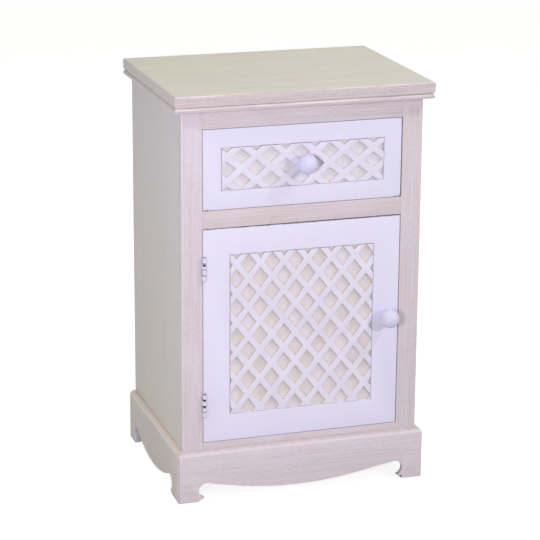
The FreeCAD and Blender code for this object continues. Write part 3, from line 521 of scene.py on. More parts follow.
def lattice_paint(name, panel, pale, white):
    """White paint on the sheet's face, fibreboard on the sawn walls, and painted shade in a dark line along
    its outline, where the gap round the sheet lies.
    """
    finish = Finish(name)
    peel = finish.noise(finish.place, 500, 3)
    wall = finish.span(abs(finish.facing("Y")), 0.9, 0.3)
    face = finish.mix(finish.patches(18, 0.3, 0.7), pale, white)
    fibre = finish.mix(finish.noise(finish.place, 380, 4), tone(224, 215, 219), tone(237, 230, 236))
    colour = finish.mix(wall, face, fibre)
    low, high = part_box(panel)
    shade_breaks = finish.patches(60, 0.35, 0.6, 0.45, 1.0)
    # Painted shade along the sheet's outline: darkest along the top, fainter at the sides, faintest along the
    # bottom
    for axis, edge, inward, share in (("Z", high.z, -1, 0.85), ("X", low.x, 1, 0.7),
                                      ("X", high.x, -1, 0.5), ("Z", low.z, 1, 0.35)):
        gap_shade = finish.span((finish.at(axis) - edge) * inward, GAP_SHADE_WIDTH, GAP_SHADE_WIDTH / 3)
        colour = finish.mix(gap_shade * shade_breaks * share, colour, tone(112, 100, 112))
    return finish.paint(colour, finish.span(wall, 0, 1, 0.42, 0.75), peel, 0.04 * MM)


def mottled_backing(name, start, pitch, dabs, edge, pale, pink, lavender):
    """Thin wash on the panel behind a lattice: dabbed in the middle of each diamond, with painted shade in the
    edge tone round each diamond's rim by the bars, plain on the back.
    """
    finish = Finish(name)
    across = (finish.at("X") - start[0]) / pitch[0]
    up = (finish.at("Z") - start[1]) / pitch[1]
    rising = across.sum("PINGPONG", across + up, 0.5)
    falling = across.sum("PINGPONG", across - up, 0.5)
    reach = across.sum("MAXIMUM", rising, falling)
    patch = finish.streaks("X", 1.0, 25, 1, dabs)
    blush = finish.streaks("X", 1.0, 29, 1, (dabs + 3.1, dabs + 0.7, dabs + 5.3))
    paper = finish.noise(finish.place, 520, 4, rough=0.7)
    colour = finish.mix(finish.span(patch, 0.36, 0.64), pale, pink)
    colour = finish.tint(colour, blush, 0.46, 0.68, 0.75, lavender)
    # Painted shade: the edge tone round the rim of each diamond, where the bars shade the panel; the same tone
    # covers the back
    colour = finish.tint(colour, reach + (paper - 0.5) * 0.3, 0.17, 0.36, 0.85, edge)
    colour = finish.mix(finish.span(finish.facing("Y"), -0.6, -0.2), colour, edge)
    grain = finish.mix(finish.span(paper, 0.34, 0.62), tone(238, 233, 236), tone(255, 255, 255))
    colour = finish.mix(1.0, colour, grain, "MULTIPLY")
    return finish.paint(colour, 0.8, paper, 0.12 * MM)


def bare_wood(name, grain, pale, dark):
    """Planed softwood with growth rings drawn out along the grain."""
    finish = Finish(name)
    warp = finish.streaks(grain, 0.12, 9, 2)
    rings = finish.streaks(grain, 0.05, 120, 2, twist=0.6)
    fibre = finish.streaks(grain, 0.02, 1300, 3)
    colour = finish.mix(finish.span(rings * 0.6 + warp * 0.4, 0.38, 0.64), pale, dark)
    colour = finish.tint(colour, fibre, 0.5, 0.75, 0.35, dimmed(dark, 0.72))
    relief = fibre * 0.6 + rings * 0.4
    return finish.paint(colour, finish.span(fibre, 0.3, 0.7, 0.62, 0.8), relief, 0.15 * MM)


def greased(finish, colour, power):
    """Black grease squeezed out at the front of the hinges; a high power keeps the faint spots clean."""
    low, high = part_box("upper_hinge_pin")
    front = (low.x + high.x) / 2 - GREASE_TURN
    across = finish.span(abs(finish.at("X") - front), GREASE_WIDTH, GREASE_WIDTH * 0.75)
    for level, share in HINGE_GREASE:
        reach = finish.span(abs(finish.at("Z") - level), GREASE_REACH, GREASE_REACH * 0.75)
        colour = finish.mix(reach * across * share ** power, colour, tone(30, 17, 13))
    return colour


def hinge_paint():
    """White paint brushed over steel leaves, with dark grime where the knuckles meet."""
    finish = Finish("hinge_paint")
    cloud = finish.noise(finish.place, 220, 3)
    grime = finish.span(finish.mark("grime"), 0.15, 0.8)
    colour = finish.mix(cloud, tone(214, 210, 230), tone(232, 229, 247))
    colour = finish.mix(grime * 0.35, colour, tone(96, 78, 80))
    colour = greased(finish, colour, 3)
    return finish.paint(colour, finish.span(grime, 0, 1, 0.4, 0.75), cloud, 0.05 * MM)


def greased_pin():
    """Hinge pins, painted over with the leaves and black with old grease at the gaps that work most."""
    finish = Finish("greased_pin")
    cloud = finish.noise(finish.place, 300, 3)
    colour = finish.mix(cloud, tone(150, 142, 154), tone(176, 168, 182))
    colour = greased(finish, colour, 1)
    return finish.paint(colour, finish.span(cloud, 0.3, 0.7, 0.4, 0.6), cloud, 0.05 * MM)


def plated_steel(name, bright, dull):
    """Zinc-plated steel with fine scratches and a dull bloom."""
    finish = Finish(name, metallic=1.0)
    scratch = finish.streaks("Z", 0.1, 2600, 3)
    bloom = finish.noise(finish.place, 240, 3)
    colour = finish.mix(finish.span(bloom, 0.4, 0.7), bright, dull)
    rough = finish.span(bloom * 0.5 + scratch * 0.5, 0.3, 0.7, 0.3, 0.55)
    return finish.paint(colour, rough, scratch, 0.02 * MM)


def moulded_plastic(name, base, roughness):
    """Moulded plastic with a fine spark-eroded grain."""
    finish = Finish(name)
    grain = finish.noise(finish.place, 1800, 2)
    colour = finish.mix(finish.patches(60, 0.3, 0.7, detail=2), dimmed(base, 0.88), base)
    rough = finish.span(grain, 0.3, 0.7, roughness - 0.06, roughness + 0.08)
    return finish.paint(colour, rough, grain, 0.03 * MM)


# Boards of the face frame: grain, wood, wash, shift of the pattern and marks
WASHES = {
    "left_stile": ("Z", tone(207, 190, 199), tone(224, 212, 225), 0.0, LEFT_STILE_MARKS_AND_HIGHLIGHT),
    "right_stile": ("Z", tone(203, 188, 193), tone(222, 211, 221), 0.83, RIGHT_STILE_MARKS),
    "top_rail": ("X", tone(204, 189, 196), tone(224, 213, 225), 0.37),
    "mid_rail": ("X", tone(205, 188, 192), tone(219, 206, 214), 0.61),
    "bottom_rail": ("X", tone(200, 186, 192), tone(217, 207, 217), 0.47, SILL_MARKS),
}
FINISHES = {
    "plinth_front": washed_plinth("washed_plinth_front", "X", tone(209, 193, 201), tone(225, 215, 227),
                                  tone(219, 206, 215), tone(201, 186, 188), 0.71, PLINTH_MARKS),
    # Painted shade: the plinth's side boards in greyer, darker tones than its front board
    "plinth_side": washed_plinth("washed_plinth_side", "Y", tone(194, 184, 180), tone(206, 200, 199),
                                 tone(224, 214, 210), tone(228, 212, 201), 0.53,
                                 sawn=tone(209, 202, 222)),
    "side": washed_side("washed_side", 0.19),
    "top": washed_top(),
    "door_front": white_paint("front_paint", WHITE, 0.4, DOOR_GAP_SHADE),
    "drawer_front": white_paint("drawer_front_paint", WHITE, 0.4, DRAWER_SHADE_AND_MARKS),
    "door_knob": white_paint("door_knob_paint", tone(215, 211, 236), 0.5),
    "drawer_knob": white_paint("drawer_knob_paint", tone(216, 211, 243), 0.5),
    "door_lattice": lattice_paint("door_lattice_paint", "door_lattice",
                                  tone(223, 216, 235), tone(230, 224, 243)),
    "drawer_lattice": lattice_paint("drawer_lattice_paint", "drawer_lattice",
                                    tone(224, 218, 238), tone(231, 226, 246)),
    "door_backing": mottled_backing("door_backing", DOOR_DIAMOND, DOOR_PITCH, DOOR_DABS, tone(226, 218, 211),
                                    tone(222, 216, 212), tone(238, 226, 233), tone(237, 229, 246)),
    "drawer_backing": mottled_backing("drawer_backing", DRAWER_DIAMOND, DRAWER_PITCH, DRAWER_DABS,
                                      tone(229, 222, 220), tone(225, 221, 228), tone(237, 229, 240),
                                      tone(237, 232, 249)),
    "hinge": hinge_paint(),
    "zinc": plated_steel("zinc_steel", tone(196, 196, 200), tone(150, 148, 146)),
    "pin": greased_pin(),
    "catch": moulded_plastic("catch_plastic", tone(232, 230, 224), 0.42),
    "magnet": moulded_plastic("ferrite", tone(52, 52, 56), 0.6),
    "glide": moulded_plastic("glide_plastic", tone(38, 36, 36), 0.5),
}
for piece, wash in WASHES.items():
    FINISHES[piece] = washed_wood("washed_" + piece, *wash)
for axis in CARDINAL:
    FINISHES["bare" + axis] = bare_wood("bare_wood_" + axis, axis, tone(226, 204, 170), tone(205, 172, 130))
    FINISHES["ply" + axis] = bare_wood("plywood_" + axis, axis, tone(208, 180, 142), tone(186, 152, 112))

SLOT_OF = {part["node"]: part["material_slot"] for part in frame["record"]["subparts"]}


# Mesh helpers

def put(node, finish, mesh):
    """Sets a finished mesh on the body of the node that it stands for."""
    name = node + "_dressed"
    mesh.name = name
    mesh.materials.clear()
    mesh.materials.append(FINISHES[finish])
    mesh.polygons.foreach_set("material_index", [0] * len(mesh.polygons))
    mesh.shade_smooth()
    mesh.set_sharp_from_angle(angle=SHARP_ANGLE)
    thing = bpy.data.objects.new(name, mesh)
    bpy.context.scene.collection.objects.link(thing)
    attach(thing, frame["nodes"][node]["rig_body"])
    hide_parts(node)


def ease(bm, radius):
    """Rounds the sharp edges of a closed mesh and marks the rounds as arris."""
    mark = bm.verts.layers.float.new("arris")
    sharp = [edge for edge in bm.edges if edge.is_manifold and edge.calc_face_angle() > SHARP_ANGLE]
    made = bmesh.ops.bevel(bm, geom=sharp, offset=radius, offset_type="OFFSET", segments=ARRIS_STEPS,
                           profile=0.5, affect="EDGES", clamp_overlap=True)
    rounds = set(made["faces"])
    for vertex in made["verts"]:
        if all(face in rounds for face in vertex.link_faces):
            vertex[mark] = 1.0


def mesh_of(bm):
    """A plain mesh from a working mesh, which is used up."""
    mesh = bpy.data.meshes.new("piece")
    bm.to_mesh(mesh)
    bm.free()
    return mesh


def copy_of(node):
    """A welded copy of a node's mesh."""
    bm = bmesh.new()
    bm.from_mesh(frame["nodes"][node].data)
    bmesh.ops.remove_doubles(bm, verts=bm.verts, dist=WELD)
    return bm


def add_block(bm, middle, size):
    """Adds a rectangular block to a working mesh."""
    place = Matrix.Translation(middle) @ Matrix.Diagonal((*size, 1.0))
    bmesh.ops.create_cube(bm, size=1.0, matrix=place)


def board(node, finish, radius=BOARD_ARRIS):
    """A plain board in the node's place with eased arrises."""
    low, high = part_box(node)
    bm = bmesh.new()
    add_block(bm, (low + high) / 2, high - low)
    ease(bm, radius)
    put(node, finish, mesh_of(bm))


def belly_lift(point):
    """How far the saw cut of the front board lies above the node's at a point: nothing on the feet."""
    if not SPUR_TOP < point.z < SCROLL_TOP:
        return 0.0
    inside = (BELLY_END - abs(point.x)) / BELLY_FADE
    return (BELLY_LIFT + BELLY_TILT * point.x / SCROLL_REACH) * min(1.0, max(0.0, inside))


def shaped_board(node, finish, lift=None):
    """The node's own sawn or moulded outline with eased arrises."""
    bm = copy_of(node)
    bmesh.ops.dissolve_limit(bm, angle_limit=FLAT_ANGLE, verts=bm.verts, edges=bm.edges)
    if lift:
        for vertex in bm.verts:
            vertex.co.z += lift(vertex.co)
    ease(bm, SHAPED_ARRIS)
    put(node, finish, mesh_of(bm))


def loop_frame(node, finish, panel, depth):
    """A front with a mitred rectangular opening round its panel and a rebate behind it."""
    low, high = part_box(node)
    open_low, open_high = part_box(panel)
    fit = Vector((LATTICE_FIT, 0, LATTICE_FIT))
    lap = Vector((PANEL_LAP, 0, PANEL_LAP))
    opening = (open_low - fit, open_high + fit)
    rebate = (opening[0] - lap, opening[1] + lap)
    section = [((low, high), low.y), (opening, low.y), (opening, depth), (rebate, depth),
               (rebate, high.y), ((low, high), high.y)]
    bm = bmesh.new()
    rings = []
    for (near, far), y in section:
        corners = [(near.x, near.z), (far.x, near.z), (far.x, far.z), (near.x, far.z)]
        rings.append([bm.verts.new((x, y, z)) for x, z in corners])
    for ring, after in zip(rings, rings[1:] + rings[:1]):
        for side in range(4):
            turn = (side + 1) % 4
            bm.faces.new((ring[side], ring[turn], after[turn], after[side]))
    bmesh.ops.recalc_face_normals(bm, faces=bm.faces)
    ease(bm, FRONT_ARRIS)
    put(node, finish, mesh_of(bm))


def lathe(outline, seat, direction, sides, mark=None):
    """A mesh spun from (radius, height) points about a line; mark gives each outline point a number."""
    bm = bmesh.new()
    layer = bm.verts.layers.float.new("grime") if mark else None
    turn = direction.to_track_quat("Z", "Y").to_matrix().to_4x4()
    place = Matrix.Translation(seat) @ turn
    closed = outline[0] == outline[-1]
    rows = []
    for index, (radius, height) in enumerate(outline):
        row = []
        for side in range(sides):
            angle = math.tau * side / sides
            point = Vector((radius * math.cos(angle), radius * math.sin(angle), height))
            vertex = bm.verts.new(place @ point)
            if mark:
                vertex[layer] = mark[index]
            row.append(vertex)
        rows.append(row)
    for row, after in zip(rows, rows[1:]):
        for side in range(sides):
            next_side = (side + 1) % sides
            bm.faces.new((row[side], row[next_side], after[next_side], after[side]))
    bmesh.ops.remove_doubles(bm, verts=bm.verts, dist=WELD)
    if not closed:
        bmesh.ops.dissolve_degenerate(bm, edges=bm.edges, dist=WELD)
    bmesh.ops.recalc_face_normals(bm, faces=bm.faces)
    return bm


def islands(node):
    """The lowest and highest corner of each separate solid in a node."""
    bm = copy_of(node)
    left = set(bm.verts)
    boxes = []
    while left:
        reach = [left.pop()]
        points = []
        while reach:
            vertex = reach.pop()
            points.append(vertex.co.copy())
            for edge in vertex.link_edges:
                other = edge.other_vert(vertex)
                if other in left:
                    left.remove(other)
                    reach.append(other)
        low = Vector([min(point[i] for point in points) for i in range(3)])
        high = Vector([max(point[i] for point in points) for i in range(3)])
        boxes.append((low, high))
    bm.free()
    return sorted(boxes, key=lambda pair: tuple(round(part, 5) for part in pair[0]))


# Geometry Nodes

class Former(Graph):
    """A Geometry Nodes tree with named inputs that turns a seed mesh into a plain mesh."""

    def __init__(self, name, numbers=(), counts=(), switches=()):
        super().__init__(bpy.data.node_groups.new(name, "GeometryNodeTree"))
        face = self.tree.interface
        face.new_socket("Seed", in_out="INPUT", socket_type="NodeSocketGeometry")
        self.names = {}
        kinds = [(numbers, "NodeSocketFloat"), (counts, "NodeSocketInt"), (switches, "NodeSocketBool"),
                 (("Finish",), "NodeSocketMaterial")]
        for labels, kind in kinds:
            for label in labels:
                self.names[label] = face.new_socket(label, in_out="INPUT", socket_type=kind).identifier
        face.new_socket("Grown", in_out="OUTPUT", socket_type="NodeSocketGeometry")
        self.given = self.tree.nodes.new("NodeGroupInput")

    def size(self, label):
        """A named input of the tree."""
        return Term(self, self.given.outputs[label])

    def moved(self, shape, shift=(0, 0, 0), turn=(0, 0, 0), scale=(1, 1, 1)):
        return self.node("GeometryNodeTransform", None,
                         {"Geometry": shape, "Translation": shift, "Rotation": turn, "Scale": scale})

    def join(self, *shapes):
        return self.node("GeometryNodeJoinGeometry", None, {0: list(shapes)})

    def cut(self, operation, first, *others):
        """Joins meshes, or takes others away from the first."""
        inputs = {"Mesh 2": list(others)} if first is None else {"Mesh 1": first, "Mesh 2": list(others)}
        return self.node("GeometryNodeMeshBoolean", {"operation": operation, "solver": "EXACT"}, inputs)

    def close(self, shape):
        """Ends the tree: real meshes in place of instances, and the finish."""
        whole = self.node("GeometryNodeRealizeInstances", None, {"Geometry": shape})
        painted = self.node("GeometryNodeSetMaterial", None,
                            {"Geometry": whole, "Material": self.size("Finish")})
        result = self.tree.nodes.new("NodeGroupOutput")
        self.feed(result.inputs[0], painted)

    def grow(self, seed, values):
        """Runs the tree on a seed mesh and gives back the plain mesh that it makes."""
        host = bpy.data.objects.new("seed", seed)
        bpy.context.scene.collection.objects.link(host)
        modifier = host.modifiers.new("grow", "NODES")
        modifier.node_group = self.tree
        for label, value in values.items():
            modifier[self.names[label]] = value
        graph = bpy.context.evaluated_depsgraph_get()
        mesh = bpy.data.meshes.new_from_object(host.evaluated_get(graph))
        bpy.data.objects.remove(host)
        return mesh


def lattice_former():
    """A sheet pierced by staggered rows of diamonds, standing in the XZ plane."""
    tree = Former("lattice_sheet",
                  ("Width", "Height", "Board", "Pitch X", "Pitch Z", "Bar", "Shift X", "Shift Z"),
                  ("Columns", "Rows"))
    pitch_x = tree.size("Pitch X")
    pitch_z = tree.size("Pitch Z")
    to_side = pitch_x * pitch_z / (2 * (pitch_x * pitch_x + pitch_z * pitch_z) ** 0.5)
    share = (1 - tree.size("Bar") / 2 / to_side) / 2
    board_size = tree.size("Board")
    diamond = tree.node("GeometryNodeMeshCylinder", {"fill_type": "NGON"},
                        {"Vertices": 4, "Radius": 1.0, "Depth": board_size * 2})
    diamond = tree.moved(diamond, scale=tree.vector(share * pitch_x, share * pitch_z, 1.0))
    columns = tree.size("Columns")
    rows = tree.size("Rows")
    grid = tree.node("GeometryNodeMeshGrid", None,
                     {"Size X": (columns - 1) * pitch_x, "Size Y": (rows - 1) * pitch_z,
                      "Vertices X": columns, "Vertices Y": rows})
    between = tree.moved(grid, tree.vector(pitch_x / 2, pitch_z / 2, 0.0))
    shift = tree.vector(tree.size("Shift X"), tree.size("Shift Z"), 0.0)
    points = tree.moved(tree.join(grid, between), shift)
    holes = tree.node("GeometryNodeInstanceOnPoints", None, {"Points": points, "Instance": diamond})
    holes = tree.node("GeometryNodeRealizeInstances", None, {"Geometry": holes})
    sheet = tree.node("GeometryNodeMeshCube", None,
                      {"Size": tree.vector(tree.size("Width"), tree.size("Height"), board_size)})
    tree.close(tree.moved(tree.cut("DIFFERENCE", sheet, holes), turn=(math.pi / 2, 0, 0)))
    return tree


def fastener_former():
    """Screws, nails or glides on points, each looking the way its point says."""
    tree = Former("fasteners",
                  ("Top Radius", "Base Radius", "Head Height", "Shank Radius", "Length"), (), ("Cross",))
    head_height = tree.size("Head Height")
    shank_length = tree.size("Length") - head_height * 0.5
    head = tree.node("GeometryNodeMeshCone", None,
                     {"Vertices": FASTENER_SIDES, "Radius Top": tree.size("Top Radius"),
                      "Radius Bottom": tree.size("Base Radius"), "Depth": head_height})
    head = tree.moved(head, tree.vector(0.0, 0.0, head_height * -1))
    shank = tree.node("GeometryNodeMeshCylinder", None,
                      {"Vertices": FASTENER_SIDES, "Radius": tree.size("Shank Radius"),
                       "Depth": shank_length})
    shank = tree.moved(shank, tree.vector(0.0, 0.0, tree.size("Length") * -0.5 - head_height * 0.25))
    whole = tree.cut("UNION", None, head, shank)
    long_slot = tree.size("Top Radius") * CROSS_RADII
    bars = []
    for x, y in ((long_slot, CROSS_SLOT), (CROSS_SLOT, long_slot)):
        bars.append(tree.node("GeometryNodeMeshCube", None, {"Size": tree.vector(x, y, 2 * CROSS_DEPTH)}))
    cross = tree.cut("UNION", None, *bars)
    slotted = tree.cut("DIFFERENCE", whole, cross)
    chosen = tree.node("GeometryNodeSwitch", {"input_type": "GEOMETRY"},
                       {"Switch": tree.size("Cross"), "False": whole, "True": slotted})
    facing = tree.node("GeometryNodeInputNamedAttribute", {"data_type": "FLOAT_VECTOR"}, {"Name": "facing"})
    turn = tree.node("FunctionNodeAlignRotationToVector", {"axis": "Z"}, {"Vector": facing})
    tree.close(tree.node("GeometryNodeInstanceOnPoints", None,
                         {"Points": tree.size("Seed"), "Instance": chosen, "Rotation": turn}))
    return tree


def row_former():
    """Copies of the seed in a row up a line, such as the knuckles of a hinge leaf."""
    tree = Former("row", ("Pitch",), ("Count",))
    points = tree.node("GeometryNodeMeshLine", None,
                       {"Count": tree.size("Count"), "Offset": tree.vector(0.0, 0.0, tree.size("Pitch"))})
    tree.close(tree.node("GeometryNodeInstanceOnPoints", None,
                         {"Points": points, "Instance": tree.size("Seed")}))
    return tree


LATTICE = lattice_former()
FASTENERS = fastener_former()
ROW = row_former()


# Pieces

def case():
    """Top, sides, face frame, plinth and back."""
    shaped_board("top_board", "top")
    for side in ("left", "right"):
        board(side + "_side_panel", "side")
        board(side + "_stile", side + "_stile")
        shaped_board("plinth_" + side, "plinth_side")
    for place in ("top", "mid", "bottom"):
        board(place + "_rail", place + "_rail")
    shaped_board("plinth_front", "plinth_front", belly_lift)
    board("back_panel", "plyZ", PANEL_ARRIS)


def lattice(front, pitch, bar, diamond, arris):
    """The lattice sheet of a front, with one diamond at the given point."""
    node = front + "_lattice"
    pitch_x, pitch_z = pitch
    low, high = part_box(node)
    middle = (low + high) / 2
    size = high - low
    columns = 2 * math.ceil(size.x / pitch_x) + SPARE_ROWS
    rows = 2 * math.ceil(size.z / pitch_z) + SPARE_ROWS
    seed = bpy.data.meshes.new("seed")
    mesh = LATTICE.grow(seed, {
        "Width": size.x, "Height": size.z, "Board": size.y, "Pitch X": pitch_x, "Pitch Z": pitch_z,
        "Bar": bar, "Columns": columns, "Rows": rows, "Finish": FINISHES[node],
        "Shift X": (diamond[0] - middle.x + pitch_x / 2) % pitch_x - pitch_x / 2,
        "Shift Z": (diamond[1] - middle.z + pitch_z / 2) % pitch_z - pitch_z / 2,
    })
    bm = bmesh.new()
    bm.from_mesh(mesh)
    bmesh.ops.translate(bm, verts=bm.verts, vec=middle)
    bmesh.ops.remove_doubles(bm, verts=bm.verts, dist=WELD)
    ease(bm, arris)
    put(node, node, mesh_of(bm))


def knob(front):
    """A turned ball on a short flared neck."""
    node = front + "_knob"
    low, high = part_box(node)
    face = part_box("door_frame" if front == "door" else "drawer_lattice")[0].y
    seat = Vector(((low.x + high.x) / 2, face, (low.z + high.z) / 2))
    length = face - low.y
    centre = length - KNOB_RADIUS
    start = math.pi - math.asin(KNOB_NECK_RADIUS / KNOB_RADIUS)
    meet = centre + KNOB_RADIUS * math.cos(start)
    hollow = (KNOB_BASE_RADIUS + KNOB_NECK_RADIUS) / 2 - KNOB_WAIST_RADIUS
    outline = [(0.0, 0.0), (KNOB_BASE_RADIUS, 0.0)]
    for step in range(1, NECK_STEPS):
        share = step / NECK_STEPS
        straight = KNOB_BASE_RADIUS + (KNOB_NECK_RADIUS - KNOB_BASE_RADIUS) * share
        outline.append((straight - 4 * hollow * share * (1 - share), meet * share))
    for step in range(KNOB_STEPS + 1):
        angle = start * (1 - step / KNOB_STEPS)
        outline.append((KNOB_RADIUS * math.sin(angle), centre + KNOB_RADIUS * math.cos(angle)))
    bm = lathe(outline, seat, Vector((0, -1, 0)), KNOB_SIDES)
    put(node, node, mesh_of(bm))


def fronts():
    """The door's and drawer's painted frames, lattices and knobs."""
    frames = (("door", "door_frame", "door_front"), ("drawer", "drawer_front_frame", "drawer_front"))
    for front, node, finish in frames:
        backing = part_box(front + "_backing")[0].y
        loop_frame(node, finish, front + "_lattice", backing)
        knob(front)
    lattice("door", DOOR_PITCH, DOOR_BAR, DOOR_DIAMOND, DOOR_LATTICE_ARRIS)
    lattice("drawer", DRAWER_PITCH, DRAWER_BAR, DRAWER_DIAMOND, DRAWER_LATTICE_ARRIS)


def knuckle(seat, height):
    """A chamfered knuckle round the pin, grimy at both ends."""
    chamfer = KNUCKLE_CHAMFER
    outline = [(BARREL_BORE, 0), (BARREL_RADIUS - chamfer, 0), (BARREL_RADIUS, chamfer),
               (BARREL_RADIUS, 2 * chamfer), (BARREL_RADIUS, height - 2 * chamfer),
               (BARREL_RADIUS, height - chamfer), (BARREL_RADIUS - chamfer, height), (BARREL_BORE, height),
               (BARREL_BORE, 0)]
    grime = [1, 1, 0.6, 0, 0, 0.6, 1, 1, 1]
    return lathe(outline, seat, CARDINAL["Z"], HINGE_SIDES, grime)


def leaf_plate(node, face):
    """The plate of a hinge leaf, let into the edge behind the stile's face."""
    plate = copy_of(node)
    bmesh.ops.bisect_plane(plate, geom=plate.verts[:] + plate.edges[:] + plate.faces[:], dist=WELD,
                           plane_co=(0, face, 0), plane_no=(0, 1, 0), clear_inner=True)
    bmesh.ops.holes_fill(plate, edges=[edge for edge in plate.edges if edge.is_boundary])
    return plate


def hinge(place, leaf, first):
    """One leaf of a hinge: a plate, and every second knuckle with the neck that joins it to the plate."""
    node = place + "_hinge_" + leaf + "_leaf"
    low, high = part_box(node)
    pin_low, pin_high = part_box(place + "_hinge_pin")
    axis = (pin_low + pin_high) / 2
    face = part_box("left_stile")[0].y
    height = (high.z - low.z - (KNUCKLES - 1) * KNUCKLE_GAP) / KNUCKLES
    pitch = height + KNUCKLE_GAP
    seat = Vector((axis.x, axis.y, low.z + first * pitch))
    bm = knuckle(seat, height)
    plate = leaf_plate(node, face)
    plate_x = [vertex.co.x for vertex in plate.verts]
    beside = min(abs(x - axis.x) for x in plate_x)
    root = axis.y + math.sqrt(NECK_ROOT ** 2 - beside ** 2)
    neck = Vector((max(plate_x) - min(plate_x), face - root, height))
    middle = Vector(((max(plate_x) + min(plate_x)) / 2, (face + root) / 2, seat.z + height / 2))
    add_block(bm, middle, neck)
    count = (KNUCKLES - first + 1) // 2
    values = {"Pitch": 2 * pitch, "Count": count, "Finish": FINISHES["hinge"]}
    plate.from_mesh(ROW.grow(mesh_of(bm), values))
    put(node, "hinge", mesh_of(plate))


def fasten(node, finish, facing, form, cross=True):
    """Gives each solid of a node its real head; facing turns a solid's middle into the way it looks."""
    seed = bpy.data.meshes.new("seed")
    ends = []
    ways = []
    length = 0.0
    for low, high in islands(node):
        middle = (low + high) / 2
        way = facing(middle)
        half = Vector([abs(part) for part in way]).dot(high - low) / 2
        ends.append(middle + way * half)
        ways += list(way)
        length = 2 * half
    seed.from_pydata(ends, [], [])
    seed.attributes.new("facing", "FLOAT_VECTOR", "POINT").data.foreach_set("vector", ways)
    values = dict(zip(("Top Radius", "Base Radius", "Head Height", "Shank Radius"), form))
    values.update({"Length": length, "Cross": cross, "Finish": FINISHES[finish]})
    put(node, finish, FASTENERS.grow(seed, values))


def outward(point):
    """The way from the middle of the case to its left or right."""
    return CARDINAL["X"] * math.copysign(1, point.x)


def fastenings():
    """Screws, nails and glides in place of their plain CAD solids."""
    x, y, z = CARDINAL.values()
    screws = {
        "top_screws": (lambda point: -z, SCREW),
        "runner_screws": (lambda point: -outward(point), SCREW),
        "catch_screws": (lambda point: y, SCREW),
        "drawer_back_screws": (outward, SCREW),
        "hinge_frame_screws": (lambda point: x, HINGE_SCREW),
        "hinge_door_screws": (lambda point: -x, HINGE_SCREW),
        "strike_screw": (lambda point: y, HINGE_SCREW),
        "door_knob_screw": (lambda point: y, KNOB_SCREW),
        "drawer_knob_screw": (lambda point: y, KNOB_SCREW),
    }
    for node, (way, form) in screws.items():
        fasten(node, "zinc", way, form)
    fasten("back_panel_nails", "zinc", lambda point: y, NAIL, cross=False)
    fasten("foot_glides", "glide", lambda point: -z, GLIDE, cross=False)


def dress_plain_nodes():
    """Gives the CAD nodes that stay in view their finishes; wood takes its grain from its longest side."""
    plain = {"steel": "zinc", "white_plastic": "catch", "ferrite": "magnet"}
    for name, thing in frame["nodes"].items():
        if thing.hide_render:
            continue
        low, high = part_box(name)
        size = high - low
        grain = "XYZ"[max(range(3), key=lambda index: size[index])]
        slot = SLOT_OF[name]
        if name.endswith("_pin"):
            finish = "pin"
        elif slot == "washed_backing":
            finish = name
        else:
            finish = {"bare_wood": "bare" + grain, "plywood": "ply" + grain}.get(slot) or plain[slot]
        thing.data.materials.clear()
        thing.data.materials.append(FINISHES[finish])


# Studio

def white_to_camera(graph, seen, lit):
    """One shader for rays that show the studio and another for the light that falls on the object."""
    path = graph.tree.nodes.new("ShaderNodeLightPath")
    shown = Term(graph, path.outputs["Is Camera Ray"])
    for name in ("Is Glossy Ray", "Is Transmission Ray"):
        shown = shown.sum("MAXIMUM", shown, Term(graph, path.outputs[name]))
    return graph.node("ShaderNodeMixShader", None, {0: shown, 1: lit, 2: seen})


def studio_world():
    """White all round to the camera, and a plain light on the object."""
    world = bpy.data.worlds.new("studio")
    bpy.context.scene.world = world
    world.use_nodes = True
    graph = Graph(world.node_tree)
    nodes = world.node_tree.nodes
    graph.feed(nodes["Background"].inputs["Color"], AMBIENT_TINT)
    graph.feed(nodes["Background"].inputs["Strength"], AMBIENT)
    lit = Term(graph, nodes["Background"].outputs[0])
    seen = graph.node("ShaderNodeBackground", None, {"Color": PLAIN_WHITE, "Strength": 1.0})
    graph.feed(nodes["World Output"].inputs["Surface"], white_to_camera(graph, seen, lit))


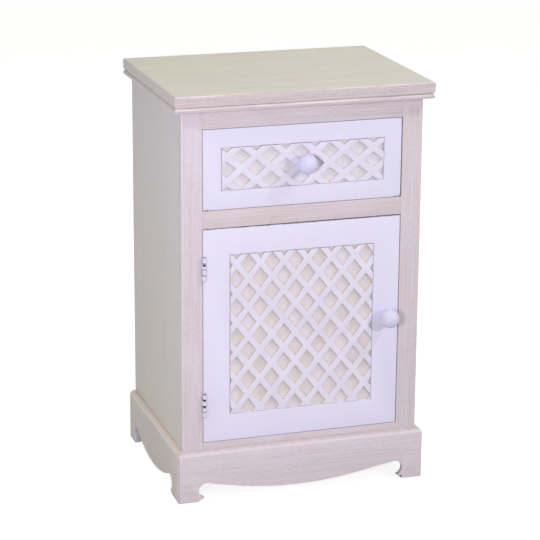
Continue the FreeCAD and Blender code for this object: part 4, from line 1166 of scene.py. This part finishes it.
def floor():
    """A white floor: bright to the camera, with the object's soft shadow left on it."""
    material = bpy.data.materials.new("studio_floor")
    material.use_nodes = True
    graph = Graph(material.node_tree)
    nodes = material.node_tree.nodes
    nodes.remove(nodes["Principled BSDF"])
    matt = graph.node("ShaderNodeBsdfDiffuse", None, {"Color": FLOOR_GREY})
    faint = graph.node("ShaderNodeBsdfDiffuse", None, {"Color": FLOOR_SHADE})
    glow = graph.node("ShaderNodeEmission", None, {"Color": PLAIN_WHITE, "Strength": FLOOR_GLOW})
    seen = graph.node("ShaderNodeAddShader", None, {0: faint, 1: glow})
    graph.feed(nodes["Material Output"].inputs["Surface"], white_to_camera(graph, seen, matt))
    bm = bmesh.new()
    bmesh.ops.create_grid(bm, x_segments=1, y_segments=1, size=FLOOR_HALF)
    mesh = mesh_of(bm)
    mesh.materials.append(material)
    thing = bpy.data.objects.new("studio_floor", mesh)
    bpy.context.scene.collection.objects.link(thing)


def lamps():
    """Soft boxes round the object; the one behind it gives no glare on the top."""
    middle = (cad_low + cad_high) / 2
    for name, (azimuth, elevation, distance, size, power) in LAMPS.items():
        across = math.radians(azimuth)
        up = math.radians(elevation)
        way = Vector((math.sin(across) * math.cos(up), -math.cos(across) * math.cos(up), math.sin(up)))
        data = bpy.data.lights.new(name, "AREA")
        data.size = size
        data.energy = power
        data.color = LAMP_TINT
        thing = bpy.data.objects.new(name, data)
        thing.location = middle + way * distance
        thing.visible_glossy = abs(azimuth) < 90
        thing.rotation_euler = (-way).to_track_quat("-Z", "Y").to_euler()
        bpy.context.scene.collection.objects.link(thing)


def camera():
    """The photograph's point of view."""
    ahead = Vector((math.sin(EYE_YAW) * math.cos(EYE_PITCH), math.cos(EYE_YAW) * math.cos(EYE_PITCH),
                    -math.sin(EYE_PITCH)))
    right = Vector((math.cos(EYE_YAW), -math.sin(EYE_YAW), 0))
    up = right.cross(ahead)
    side = right * math.cos(EYE_ROLL) + up * math.sin(EYE_ROLL)
    top = up * math.cos(EYE_ROLL) - right * math.sin(EYE_ROLL)
    data = bpy.data.cameras.new("photo_camera")
    data.lens = EYE_LENS
    data.sensor_width = EYE_SENSOR
    thing = bpy.data.objects.new("photo_camera", data)
    turn = Matrix((side, top, -ahead)).transposed().to_4x4()
    thing.matrix_world = Matrix.Translation(EYE) @ turn
    bpy.context.scene.collection.objects.link(thing)
    bpy.context.scene.camera = thing


case()
fronts()
for place in ("upper", "lower"):
    hinge(place, "frame", 0)
    hinge(place, "door", 1)
fastenings()
dress_plain_nodes()
studio_world()
floor()
lamps()
camera()
bpy.context.scene.view_settings.view_transform = "Standard"
